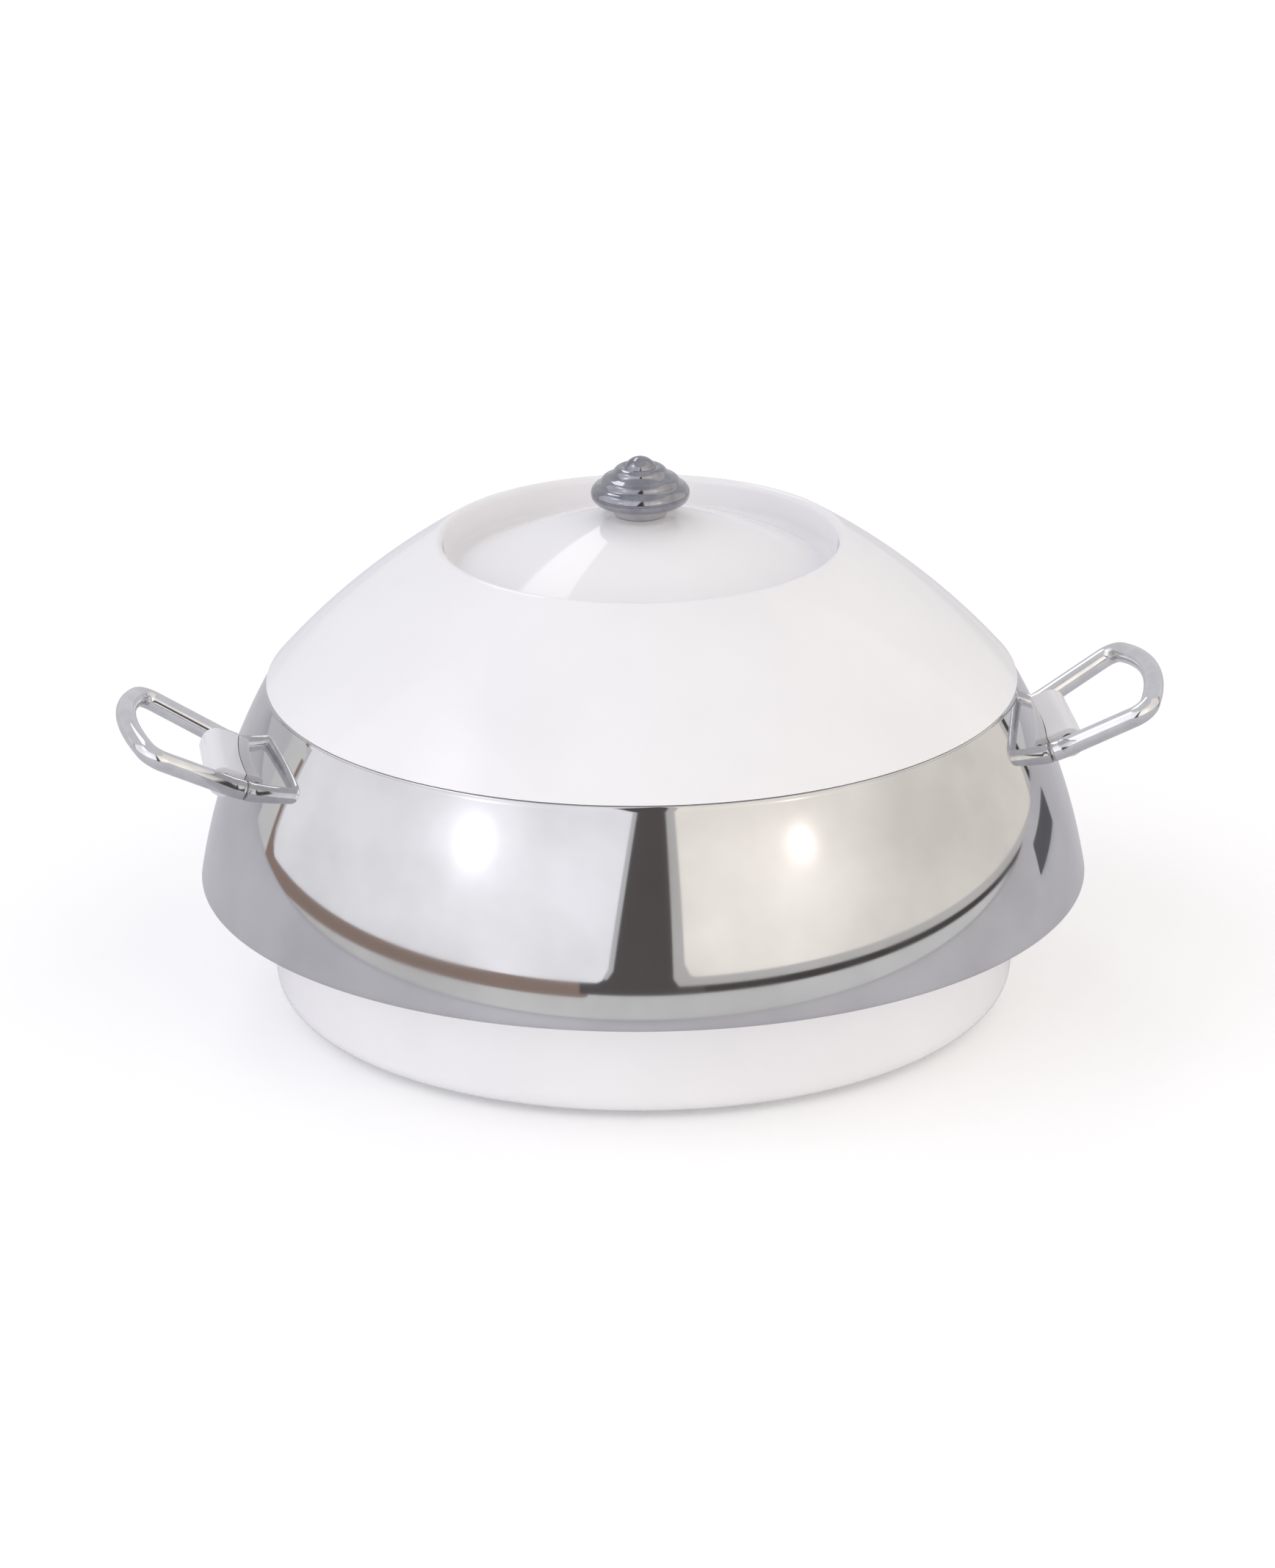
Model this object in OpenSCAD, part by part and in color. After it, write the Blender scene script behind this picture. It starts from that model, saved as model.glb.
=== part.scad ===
// Insulated chapati casserole: a double-walled bowl with a flared mirror-steel band,
// two loop handles on hooded mounts, and a domed lid with a dished top and a ringed knob.
// The bowl's axis is Z, its resting face is z = 0, and the handles point along +X and -X.

/* [Bowl] */
// Outer diameter of the white bowl where it leaves the band
bowl_d = 294; // [280:1:306]
// Height of the band's lower edge above the resting face
bowl_h = 50; // [42:1:65]
// Inward taper of the bowl's wall from the band down to its corner, per side
bowl_taper = 0.8; // [0:0.1:2]
// Outer radius of the corner between the bowl's wall and its underside
bowl_corner_r = 11; // [8:1:18]
// Wall thickness of the white mouldings
shell_t = 2.6; // [2.2:0.1:3.2]
// Distance from the edge of the flat underside in to the foot ring
foot_inset = 3.2; // [1:0.2:12]
// Width of the foot ring
foot_w = 5; // [3:0.5:8]
// Height of the foot ring
foot_h = 2.5; // [2:0.1:4]
// Diameter of the filling hole in the underside
plug_d = 20; // [14:1:26]
// Width of the plug's flange around its hole
plug_flange_w = 4; // [2:0.5:8]

/* [Steel band] */
// Diameter of the band over its lower hem
band_low_d = 350; // [340:1:360]
// Diameter of the band over its upper lip, and of the lid's lower edge
band_top_d = 295.4; // [290:0.2:300]
// Height of the band
band_h = 80.5; // [74:0.5:88]
// Outward bow of the band between its two edges
band_bow = 3.6; // [2:0.1:6]
// Thickness of the band's sheet
band_t = 0.8; // [0.6:0.1:1.2]
// Diameter of the rolled hem at the lower edge
hem_d = 2.6; // [2:0.1:3.5]
// Diameter of the rolled lip at the upper edge
lip_d = 2; // [1.6:0.1:2.6]

/* [Inner bowl] */
// Width of the seat ring between the inner bowl and the band
seat_w = 14.4; // [12:0.2:20]
// Inward taper of the inner bowl's wall from its mouth down to its corner, per side
liner_taper = 7; // [4:0.5:14]
// Radius of the inner bowl's corner, outside
liner_corner_r = 22; // [14:1:30]
// Thickness of the inner bowl's sheet
liner_t = 0.8; // [0.6:0.1:1.2]
// Thickness of the foam under the inner bowl
floor_foam = 7; // [4:0.5:14]
// Width of the inner bowl's flange
flange_w = 6; // [4:0.5:7]
// Depth of the seat ring's two legs
seat_leg = 10; // [7:0.5:14]

/* [Handles] */
// Diameter of the handle rod
rod_d = 8; // [7:0.5:9]
// Distance between the two feet, centre to centre
foot_gap = 56; // [50:1:62]
// Height of the feet above the band's lower edge
handle_h = 50.5; // [44:0.5:56]
// Rise of the loop's plane above the horizontal
handle_tilt = 28; // [15:1:40]
// Length of each foot, from the band to the start of its arm
stub_len = 4.5; // [4:0.1:7]
// Reach of the loop's corners past the feet
arm_reach = 36; // [30:0.5:45]
// Width of the loop across its corners
bar_w = 73; // [66:0.5:80]
// Outward bow of the loop's outer bar
bar_bow = 9; // [6:0.5:12]
// Bend radius of the loop's corners
bend_r = 7; // [5.5:0.5:10]
// Diameter of the threaded studs
stud_d = 5; // [4:0.5:6]
// Turn of the backing plates past the feet, in degrees
plate_reach = 5; // [3:0.5:8]
// Thickness of the backing plates
plate_t = 1.6; // [1.2:0.1:2.5]
// Height of the backing plates
plate_h = 20; // [16:1:26]
// Thickness of the washers
washer_t = 1; // [0.8:0.1:1.6]
// Height of the nuts
nut_h = 4; // [3:0.5:5]

/* [Handle hoods] */
// Width of the hood, from the band outwards
hood_w = 12; // [10:0.5:15]
// Wall thickness of the hood
hood_t = 2.2; // [1.8:0.1:2.6]
// Depth of the hood's sides below its centre line
hood_leg = 3; // [1:0.5:4]
// Diameter of the hood's screw
hood_screw_d = 3; // [2.5:0.5:4]

/* [Lid] */
// Height of the dome from its lower edge to the crest of its rim
dome_h = 57.2; // [50:0.2:66]
// Outward bow of the dome between its lower edge and its rim
dome_bow = 3.3; // [2:0.1:6]
// Diameter of the rim's crest
crest_d = 160; // [150:1:170]
// Radius of the rim's rounded crest
crest_r = 2.5; // [1.5:0.1:3.5]
// Inward lean of the dish's wall from the rim's inner side down to its fillet
dish_lean = 1.3; // [0.5:0.1:6]
// Depth of the dish below the crest
dish_depth = 12.5; // [8:0.5:16]
// Radius of the fillet at the dish's floor
dish_fillet = 3; // [2:0.5:5]
// Rise of the raised island above the dish's floor
island_rise = 22; // [14:0.5:28]
// Width of the island's flat top around the knob's collar
island_rim = 4.2; // [2:0.2:8]
// Outward bow of the island's slope
island_bow = 1.6; // [0.6:0.1:3]
// Depth of the spigot that drops into the inner bowl
spigot_drop = 8; // [5:0.5:12]
// Width of the lip that carries the lid's liner
spigot_lip = 1.2; // [0.8:0.1:2]
// Height of the closing ring's upturned edge
ring_edge_h = 6; // [4:0.5:9]
// Rise of the lid's steel liner above the lid's lower edge
lid_liner_rise = 34; // [24:0.5:36]

/* [Knob] */
// Diameter of the knob's lowest and widest ring
knob_d = 38.8; // [34:0.2:44]
// Diameter of the knob's second ring
knob_mid_d = 28.2; // [25:0.2:31]
// Diameter of the knob's third ring
knob_top_d = 18; // [16:0.2:21]
// Bead radius of the knob's rings
knob_bead_r = 3; // [2.4:0.1:3.4]
// Depth of the grooves between the knob's rings
knob_groove = 0.8; // [0.4:0.1:1.5]
// Height from one ring to the next
knob_pitch = 4.45; // [3.6:0.05:5]
// Radius of the knob's domed top
knob_cap_r = 6.8; // [5:0.1:8]
// Height of the collar under the knob
collar_h = 4.6; // [3.5:0.1:7]
// Diameter of the collar under the knob
collar_top_d = 27.2; // [22:0.2:30]
// Diameter of the collar on the lid
collar_low_d = 19.6; // [18:0.2:24]
// Diameter of the knob's screw
knob_screw_d = 5; // [4:0.5:6]
// Diameter of the washer under the lid
washer_d = 16; // [12:0.5:20]
// Thickness of the washer under the lid
knob_washer_t = 1.2; // [0.8:0.1:2]
// Height of the knob's screw head
knob_head_h = 3.2; // [2.5:0.1:4]
// Outer diameter of the threaded insert
insert_d = 9; // [8:0.5:10]
// Length of the threaded insert
insert_len = 10; // [7:0.5:12]

/* [Clearances] */
// Running gap between lid and base
lid_gap = 0.3; // [0.25:0.05:1]
// Gap between pieces that are joined to each other
fit_gap = 0.15; // [0.1:0.05:0.25]
// Gap around the foam
foam_gap = 0.25; // [0.2:0.05:0.5]
// Radial gap of the spigot in the inner bowl
spigot_gap = 1; // [0.5:0.1:2]
// Radial gap of a screw or stud in the hole that it passes through
hole_gap = 0.25; // [0.15:0.05:0.5]
// Radial gap of a thread in its bore
thread_gap = 0.05; // [0.03:0.01:0.1]

/* [Hidden] */

$fn = 96;
WHITE = [0.95, 0.95, 0.96];
CHROME = [0.78, 0.79, 0.82];
STEEL = [0.70, 0.71, 0.73];
FOAM = [0.93, 0.87, 0.66];
BRASS = [0.80, 0.66, 0.35];
ARC_STEPS = 20;
// Length of a cut past the face that it opens
CUT = 0.5;
// Overlap of two stretches of one piece
SINK = 1;
// Room past the end of a fastener, in its bore or in the foam
ROOM = 1;
// Length of a mount's holes outside the band's face
HOLE_OUT = 3;
// Depth of a handle's foot before the band's face trims it
STUB_ROOT = 2;
// Depth of the hood's stock before the band's face trims it
HOOD_BACK = 3;

// Heights shared by the bowl, the band and the lid
seat_z = bowl_h + band_h;
lid_z = seat_z + lid_gap;
crest_z = lid_z + dome_h;
dish_z = crest_z - dish_depth;
island_z = dish_z + island_rise;

// A bow is a circular arc through two points, written as [centre r, centre z, radius]
function bow_radius(p, q, s) = (pow(norm(q - p) / 2, 2) + s * s) / (2 * s);
function bow_normal(p, q) = [q[1] - p[1], p[0] - q[0]] / norm(q - p);
function bow_centre(p, q, s) = (p + q) / 2 - bow_normal(p, q) * (bow_radius(p, q, s) - s);
function bow(p, q, s) = [bow_centre(p, q, s)[0], bow_centre(p, q, s)[1], bow_radius(p, q, s)];

// Radius of a bow, moved in by t, at height z, and its points from z0 to z1
function bow_r(b, z, t) = b[0] + sqrt(pow(b[2] - t, 2) - pow(z - b[1], 2));
function climb(b, z0, z1, t) =
    [for (i = [0:ARC_STEPS]) let (z = z0 + (z1 - z0) * i / ARC_STEPS) [bow_r(b, z, t), z]];

// Points of an arc from angle a0 to a1 about c
function arc(c, r, a0, a1) =
    [for (i = [0:ARC_STEPS]) let (a = a0 + (a1 - a0) * i / ARC_STEPS) c + r * [cos(a), sin(a)]];

function angle_of(v) = atan2(v[1], v[0]);
function reverse(list) = [for (i = [len(list) - 1:-1:0]) list[i]];

// ---- Band and its neighbours -------------------------------------------------------

band_foot = [band_low_d / 2, bowl_h + hem_d / 2];
band_head = [band_top_d / 2, seat_z - lip_d / 2];
band_arc = bow(band_foot, band_head, band_bow);

module band_body(t) {
    rotate_extrude()
        polygon(concat([[0, band_foot[1]]],
                       climb(band_arc, band_foot[1], band_head[1], t),
                       [[0, band_head[1]]]));
}

// ---- Bowl --------------------------------------------------------------------------

bowl_r = bowl_d / 2;
shoulder_z = bowl_h + hem_d + fit_gap;
shoulder_r = bow_r(band_arc, shoulder_z + shell_t, band_t) - 2 * fit_gap;
bowl_corner = [bowl_r - bowl_taper - bowl_corner_r, foot_h + bowl_corner_r];
foot_r = bowl_corner[0] - foot_inset;

// Underside, corner and wall of the bowl, moved in by t, from the axis to the shoulder
function bowl_path(t, top) =
    concat([[0, foot_h + t]],
           arc(bowl_corner, bowl_corner_r - t, -90, 0),
           [[bowl_r - t, top]]);

module base_bowl() {
    color(WHITE)
    rotate_extrude()
    difference() {
        union() {
            polygon(concat(bowl_path(0, shoulder_z),
                           [[shoulder_r, shoulder_z],
                            [shoulder_r, shoulder_z + shell_t]],
                           reverse(bowl_path(shell_t, shoulder_z + shell_t))));
            translate([foot_r - foot_w, 0])
                square([foot_w, foot_h + CUT]);
        }
        translate([0, -CUT])
            square([plug_d / 2, foot_h + shell_t + 2 * CUT]);
    }
}

plug_flange_t = foot_h / 2;

module base_plug() {
    color(WHITE)
    rotate_extrude()
    union() {
        translate([0, foot_h - plug_flange_t])
            square([plug_d / 2 + plug_flange_w, plug_flange_t - fit_gap / 3]);
        translate([0, foot_h - plug_flange_t])
            square([plug_d / 2 - fit_gap, plug_flange_t + shell_t]);
    }
}

// ---- Inner bowl --------------------------------------------------------------------

seat_out = band_top_d / 2 - lip_d - fit_gap;
seat_in = seat_out - seat_w;
liner_r = seat_in - fit_gap;
liner_z = foot_h + shell_t + floor_foam;
liner_corner = [liner_r - liner_taper - liner_corner_r, liner_z + liner_corner_r];
flange_r = liner_r + flange_w;

// Floor, corner and wall of the inner bowl, moved in by t, from the axis to its mouth
function liner_path(t, top) =
    concat([[0, liner_z + t]],
           arc(liner_corner, liner_corner_r - t, -90, 0),
           [[liner_r - t, top]]);

module base_liner() {
    color(STEEL)
    rotate_extrude()
        polygon(concat(liner_path(0, seat_z - liner_t),
                       [[flange_r, seat_z - liner_t],
                        [flange_r, seat_z]],
                       reverse(liner_path(liner_t, seat_z))));
}

// ---- Seat ring: an upturned channel that joins the inner bowl's flange to the band -----

seat_ledge_z = seat_z - liner_t - fit_gap;
seat_low_z = seat_z - seat_leg;

module seat_ring() {
    color(WHITE)
    rotate_extrude()
        polygon([[seat_in, seat_ledge_z],
                 [flange_r + fit_gap, seat_ledge_z],
                 [flange_r + fit_gap, seat_z],
                 [seat_out, seat_z],
                 [seat_out, seat_low_z],
                 [seat_out - shell_t, seat_low_z],
                 [seat_out - shell_t, seat_ledge_z - shell_t],
                 [seat_in + shell_t, seat_ledge_z - shell_t],
                 [seat_in + shell_t, seat_low_z],
                 [seat_in, seat_low_z]]);
}

// ---- Foam between the walls -----------------------------------------------------------

foam_low_z = shoulder_z + shell_t + foam_gap;
foam_top_z = seat_low_z - foam_gap;

module base_foam() {
    color(FOAM)
    difference() {
        rotate_extrude()
            polygon(concat(bowl_path(shell_t + foam_gap, foam_low_z),
                           climb(band_arc, foam_low_z, foam_top_z, band_t + foam_gap),
                           reverse(liner_path(-foam_gap, foam_top_z))));
        for (side = SIDES)
            mount_pocket(side);
    }
}

// ---- Places of the handle mounts ----------------------------------------------------------

SIDES = [0, 180];
foot_z = bowl_h + handle_h;
wall_r = bow_r(band_arc, foot_z, 0);
wall_tilt = asin((foot_z - band_arc[1]) / band_arc[2]);
joint_r = wall_r + stub_len * cos(wall_tilt);
foot_turn = asin(foot_gap / 2 / joint_r);
plate_turn = foot_turn + plate_reach;

// Moves to the band's face at a turn about the axis; +Z then points square out of the band
module at_wall(turn) {
    rotate([0, 0, turn])
        translate([wall_r, 0, foot_z])
            rotate([0, 90 - wall_tilt, 0])
                children();
}

module at_feet(side) {
    for (turn = [-foot_turn, foot_turn])
        at_wall(side + turn)
            children();
}

plate_face = band_t + fit_gap;
washer_face = plate_face + plate_t + fit_gap;
nut_face = washer_face + washer_t;
stud_end = nut_face + nut_h + ROOM;
stud_hole_d = stud_d + 2 * hole_gap;
hood_hole_d = hood_screw_d + 2 * hole_gap;
screw_head_d = 2 * hood_screw_d;
screw_head_h = 0.7 * hood_screw_d;

// Holes for two studs and the hood's screw, through the band and the plate behind it
module mount_holes(side) {
    at_feet(side)
        translate([0, 0, -washer_face])
            cylinder(d = stud_hole_d, h = washer_face + HOLE_OUT);
    at_wall(side)
        translate([0, 0, -washer_face])
            cylinder(d = hood_hole_d, h = washer_face + HOLE_OUT);
}

// Room in the foam for the backing plate and the fasteners on it
module mount_pocket(side) {
    pocket_deep = stud_end + ROOM;
    plate_band(side, plate_face - foam_gap, pocket_deep, plate_h + 2 * foam_gap, plate_turn + 0.5);
}

// A curved piece that follows the band's inner face from depth t0 to t1
module plate_band(side, t0, t1, height, turn) {
    low = foot_z - height / 2;
    high = foot_z + height / 2;
    rotate([0, 0, side - turn])
        rotate_extrude(angle = 2 * turn)
            polygon(concat(climb(band_arc, low, high, t0),
                           reverse(climb(band_arc, low, high, t1))));
}

module steel_band() {
    color(CHROME)
    difference() {
        rotate_extrude()
        union() {
            polygon(concat(climb(band_arc, band_foot[1], band_head[1], 0),
                           reverse(climb(band_arc, band_foot[1], band_head[1], band_t))));
            translate(band_foot - [hem_d / 2, 0])
                circle(d = hem_d);
            translate(band_head - [lip_d / 2, 0])
                circle(d = lip_d);
        }
        for (side = SIDES)
            mount_holes(side);
    }
}

module backing_plate(side) {
    color(STEEL)
    difference() {
        plate_band(side, plate_face, plate_face + plate_t, plate_h, plate_turn);
        mount_holes(side);
    }
}

module handle_washers() {
    color(STEEL)
    for (side = SIDES)
        at_feet(side)
            translate([0, 0, -washer_face - washer_t])
                ring(2 * stud_d, stud_hole_d, washer_t);
}

module handle_nuts() {
    color(STEEL)
    for (side = SIDES)
        at_feet(side)
            translate([0, 0, -nut_face - nut_h - fit_gap])
                difference() {
                    cylinder(d = 1.85 * stud_d, h = nut_h, $fn = 6);
                    translate([0, 0, -CUT])
                        cylinder(d = stud_d + 2 * thread_gap, h = nut_h + 2 * CUT);
                }
}

module ring(outer_d, inner_d, h) {
    difference() {
        cylinder(d = outer_d, h = h);
        translate([0, 0, -CUT])
            cylinder(d = inner_d, h = h + 2 * CUT);
    }
}

// ---- Handle loop, drawn in its own plane: x outwards, y across, feet at x = 0 ------------

foot_y = foot_gap / 2;
corner_y = bar_w / 2;
splay = atan2(corner_y - foot_y, arm_reach);
arm_dir = [cos(splay), sin(splay)];
arm_in = [sin(splay), -cos(splay)];
bar_r = (corner_y * corner_y + bar_bow * bar_bow) / (2 * bar_bow);
bar_centre = [arm_reach + bar_bow - bar_r, 0];

// Length of the straight arm: its bend touches both the arm and the outer bar
bend_from = [0, foot_y] + bend_r * arm_in - bar_centre;
bend_half = bend_from * arm_dir;
arm_len = -bend_half + sqrt(bend_half * bend_half - bend_from * bend_from + pow(bar_r - bend_r, 2));
bend_centre = [0, foot_y] + arm_len * arm_dir + bend_r * arm_in;
bar_turn = angle_of(bend_centre - bar_centre);

bar_end = bar_centre + bar_r * [cos(bar_turn), sin(bar_turn)];
arm_end = [0, foot_y] + arm_len * arm_dir;

// The rod's stretches end a hair apart, inside a bead that is barely thicker than the rod
// and whose poles lie within them
weld_d = rod_d + 0.1;
WELD_GAP = 0.1;

module rod_weld(p, turn) {
    translate([p[0], p[1], 0])
        rotate([0, 90, turn])
            sphere(d = weld_d);
}

module rod_arc(c, r, a0, a1) {
    trim = WELD_GAP / r * 180 / PI;
    translate([c[0], c[1], 0])
        rotate([0, 0, a0 + trim])
            rotate_extrude(angle = a1 - a0 - 2 * trim)
                translate([r, 0])
                    circle(d = rod_d);
}

module half_loop() {
    rod_weld([0, foot_y], splay);
    translate([0, foot_y, 0])
        rotate([0, 0, splay])
            rotate([0, 90, 0])
                cylinder(d = rod_d, h = arm_len - WELD_GAP);
    rod_weld(arm_end, splay);
    rod_arc(bend_centre, bend_r, bar_turn, 90 + splay);
    rod_weld(bar_end, bar_turn + 90);
}

module handle(side) {
    color(CHROME) {
        difference() {
            at_feet(side)
                translate([0, 0, -STUB_ROOT])
                    cylinder(d = rod_d, h = stub_len + STUB_ROOT);
            band_body(-fit_gap);
        }
        at_feet(side)
            translate([0, 0, -stud_end])
                cylinder(d = stud_d, h = stud_end + stub_len);
        rotate([0, 0, side])
            translate([joint_r * cos(foot_turn), 0, foot_z + stub_len * sin(wall_tilt)])
                rotate([0, -handle_tilt, 0]) {
                    half_loop();
                    mirror([0, 1, 0])
                        half_loop();
                    rod_arc(bar_centre, bar_r, -bar_turn, bar_turn);
                }
    }
}

// ---- Hood: an arched cover between the feet, with a screw boss inside ---------------------

hood_len = 2 * (wall_r * sin(foot_turn) - weld_d / 2 - 2 * fit_gap);
boss_d = 2.4 * hood_screw_d;
boss_len = hood_w / 2;

// Section of the hood: x down, y outwards from the band
module hood_section() {
    difference() {
        union() {
            translate([0, hood_w / 2])
                circle(d = hood_w);
            translate([0, -HOOD_BACK])
                square([hood_leg, hood_w + HOOD_BACK]);
            translate([-hood_w / 2, -HOOD_BACK])
                square([hood_w / 2, hood_w / 2 + HOOD_BACK]);
        }
        translate([0, hood_w / 2])
            circle(d = hood_w - 2 * hood_t);
        translate([0, hood_t])
            square([hood_leg + CUT, hood_w - 2 * hood_t]);
    }
}

module hood(side) {
    color(WHITE)
    difference() {
        at_wall(side) {
            rotate([90, 0, 0])
                translate([0, 0, -hood_len / 2])
                    linear_extrude(hood_len)
                        hood_section();
            cylinder(d = boss_d, h = boss_len);
        }
        band_body(-fit_gap);
        at_wall(side)
            translate([0, 0, -CUT])
                cylinder(d = hood_screw_d + 2 * thread_gap, h = boss_len - ROOM + CUT);
    }
}

module hood_screws() {
    color(STEEL)
    for (side = SIDES)
        at_wall(side) {
            translate([0, 0, -washer_face - screw_head_h])
                cylinder(d = screw_head_d, h = screw_head_h);
            translate([0, 0, -washer_face - screw_head_h])
                cylinder(d = hood_screw_d, h = washer_face + screw_head_h + boss_len - 2 * ROOM);
        }
}

// ---- Lid dome: outer slope, rounded rim, dish and raised island ------------------------------

crest = [crest_d / 2, crest_z - crest_r];
CREST_MEET = 56;
dome_low = [band_top_d / 2, lid_z];
dome_high = crest + crest_r * [cos(CREST_MEET), sin(CREST_MEET)];
dome_arc = bow(dome_low, dome_high, dome_bow);
dish_r = crest[0] - crest_r - dish_lean;
dish_corner = [dish_r - dish_fillet, dish_z + dish_fillet];
island_r = collar_low_d / 2 + island_rim;
island_slope = atan2(island_rise, dish_r - dish_fillet - island_r);
island_foot = dish_corner + dish_fillet * [-sin(island_slope), -cos(island_slope)];
island_arc = bow(island_foot, [island_r, island_z], island_bow);

// Points of the island's slope, moved in by t, from the dish's floor to the knob's seat
function island_path(t) =
    arc([island_arc[0], island_arc[1]], island_arc[2] - t,
        angle_of(island_foot - [island_arc[0], island_arc[1]]),
        angle_of([island_r, island_z] - [island_arc[0], island_arc[1]]));

// Dish wall, floor fillet and island, moved in by t
function dish_path(t) =
    concat(arc(dish_corner, dish_fillet + t, 0, -90 - island_slope),
           island_path(t));

lid_hole_d = knob_screw_d + 2 * hole_gap;

module lid_dome() {
    color(WHITE)
    rotate_extrude()
        polygon(concat(climb(dome_arc, lid_z, dome_high[1], 0),
                       arc(crest, crest_r, CREST_MEET, 180),
                       dish_path(0),
                       [[lid_hole_d / 2, island_z],
                        [lid_hole_d / 2, island_z - shell_t]],
                       reverse(dish_path(shell_t)),
                       [[dish_r + shell_t, dome_inner_top - SINK]],
                       reverse(climb(dome_arc, lid_z, dome_inner_top, shell_t))));
}

dome_inner_top = dome_high[1] - shell_t;

// ---- Lid liner, closing ring and foam ----------------------------------------------------

spigot_r = liner_r - liner_t - spigot_gap;
spigot_in = spigot_r - shell_t;
spigot_low = lid_z - spigot_drop;
lid_liner_r = spigot_in - fit_gap;
lid_liner_low = spigot_low + spigot_lip + fit_gap;
lid_liner_edge = lid_z + shell_t;
lid_liner_top = lid_z + lid_liner_rise;
cap_rise = lid_liner_top - lid_liner_edge;
cap_r = (lid_liner_r * lid_liner_r + cap_rise * cap_rise) / (2 * cap_rise);
cap_turn = asin(lid_liner_r / cap_r);

// Domed face of the lid's liner, moved in by t, from its edge to the axis
function cap_path(t) =
    arc([0, lid_liner_top - cap_r], cap_r - t, 90 - cap_turn, 90);

module lid_liner() {
    color(STEEL)
    rotate_extrude()
        polygon(concat([[lid_liner_r, lid_liner_low]],
                       cap_path(0),
                       reverse(cap_path(liner_t)),
                       [[lid_liner_r - liner_t, lid_liner_low]]));
}

module lid_ring() {
    edge_z = lid_z + ring_edge_h;
    color(WHITE)
    rotate_extrude()
        polygon(concat([[spigot_r, lid_z]],
                       climb(dome_arc, lid_z, edge_z, shell_t + fit_gap),
                       reverse(climb(dome_arc, lid_z + shell_t, edge_z, 2 * shell_t + fit_gap)),
                       [[spigot_in, lid_z + shell_t],
                        [spigot_in, spigot_low + spigot_lip],
                        [spigot_in - spigot_lip, spigot_low + spigot_lip],
                        [spigot_in - spigot_lip, spigot_low],
                        [spigot_r, spigot_low]]));
}

module lid_foam() {
    low = lid_z + shell_t + foam_gap;
    edge = lid_z + ring_edge_h + foam_gap;
    inset = shell_t + foam_gap;
    pocket_z = island_z - shell_t - knob_washer_t - knob_head_h - ROOM;
    color(FOAM)
    difference() {
        rotate_extrude()
            polygon(concat([[lid_liner_r + foam_gap, low],
                            [bow_r(dome_arc, low, 2 * shell_t + fit_gap + foam_gap), low],
                            [bow_r(dome_arc, edge, 2 * shell_t + fit_gap + foam_gap), edge]],
                           climb(dome_arc, edge, dish_z + dish_fillet, inset),
                           dish_path(inset),
                           [[0, island_z - inset]],
                           reverse(cap_path(-foam_gap))));
        translate([0, 0, pocket_z])
            cylinder(d = washer_d + 2 * ROOM, h = island_z - pocket_z);
    }
}

// ---- Knob ------------------------------------------------------------------------------------

knob_z = island_z + fit_gap;
knob_base = collar_h + fit_gap;
ring_1 = [knob_d / 2 - knob_bead_r, knob_base + knob_bead_r];
ring_2 = [knob_mid_d / 2 - knob_bead_r, ring_1[1] + knob_pitch];
ring_3 = [knob_top_d / 2 - knob_bead_r, ring_2[1] + knob_pitch];

module knob_ring(centre) {
    translate(centre)
        circle(r = knob_bead_r);
}

// Fills between two rings, down to the groove's depth below the line that touches both
module knob_step(low, high) {
    out = (knob_bead_r - knob_groove) * bow_normal(low, high);
    polygon([[0, low[1]], low, low + out, high + out, high, [0, high[1]]]);
}

module knob() {
    color(CHROME)
    translate([0, 0, knob_z])
    difference() {
        rotate_extrude()
        union() {
            translate([0, knob_base])
                square([ring_1[0], knob_bead_r]);
            knob_ring(ring_1);
            knob_step(ring_1, ring_2);
            knob_ring(ring_2);
            knob_step(ring_2, ring_3);
            knob_ring(ring_3);
            translate([0, ring_3[1]])
                intersection() {
                    circle(r = knob_cap_r);
                    square(2 * knob_cap_r);
                }
        }
        translate([0, 0, knob_base - CUT])
            cylinder(d = insert_d + 2 * thread_gap, h = insert_len + fit_gap + CUT);
    }
}

module knob_collar() {
    color(CHROME)
    translate([0, 0, knob_z])
        rotate_extrude()
            polygon([[lid_hole_d / 2, 0],
                     [collar_low_d / 2, 0],
                     [collar_top_d / 2, collar_h],
                     [lid_hole_d / 2, collar_h]]);
}

module knob_insert() {
    color(BRASS)
    translate([0, 0, knob_z + knob_base])
        ring(insert_d, knob_screw_d + 2 * thread_gap, insert_len);
}

module knob_washer() {
    color(STEEL)
    translate([0, 0, island_z - shell_t - fit_gap - knob_washer_t])
        ring(washer_d, lid_hole_d, knob_washer_t);
}

module knob_screw() {
    head_top = island_z - shell_t - 2 * fit_gap - knob_washer_t;
    color(STEEL) {
        translate([0, 0, head_top - knob_head_h])
            cylinder(d = 1.9 * knob_screw_d, h = knob_head_h);
        translate([0, 0, head_top - SINK])
            cylinder(d = knob_screw_d, h = knob_z + knob_base + insert_len - 2 * ROOM - head_top + SINK);
    }
}

base_bowl();
base_plug();
base_foam();
base_liner();
seat_ring();
steel_band();
handle(180);  // handle_left
handle(0);  // handle_right
hood(180);  // hood_left
hood(0);  // hood_right
backing_plate(180);  // backing_plate_left
backing_plate(0);  // backing_plate_right
handle_washers();
handle_nuts();
hood_screws();
lid_dome();
lid_foam();
lid_liner();
lid_ring();
knob();
knob_collar();
knob_insert();
knob_screw();
knob_washer();
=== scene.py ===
"""Dresses the insulated casserole: the finish of each piece, the studio and the camera.

The casserole's lengths are in millimetres, and those of the studio and the camera are in
metres. The casserole's axis is Z, its resting face is z = 0, and the handles point along
+X and -X. The camera stands towards -Y.
"""

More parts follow.
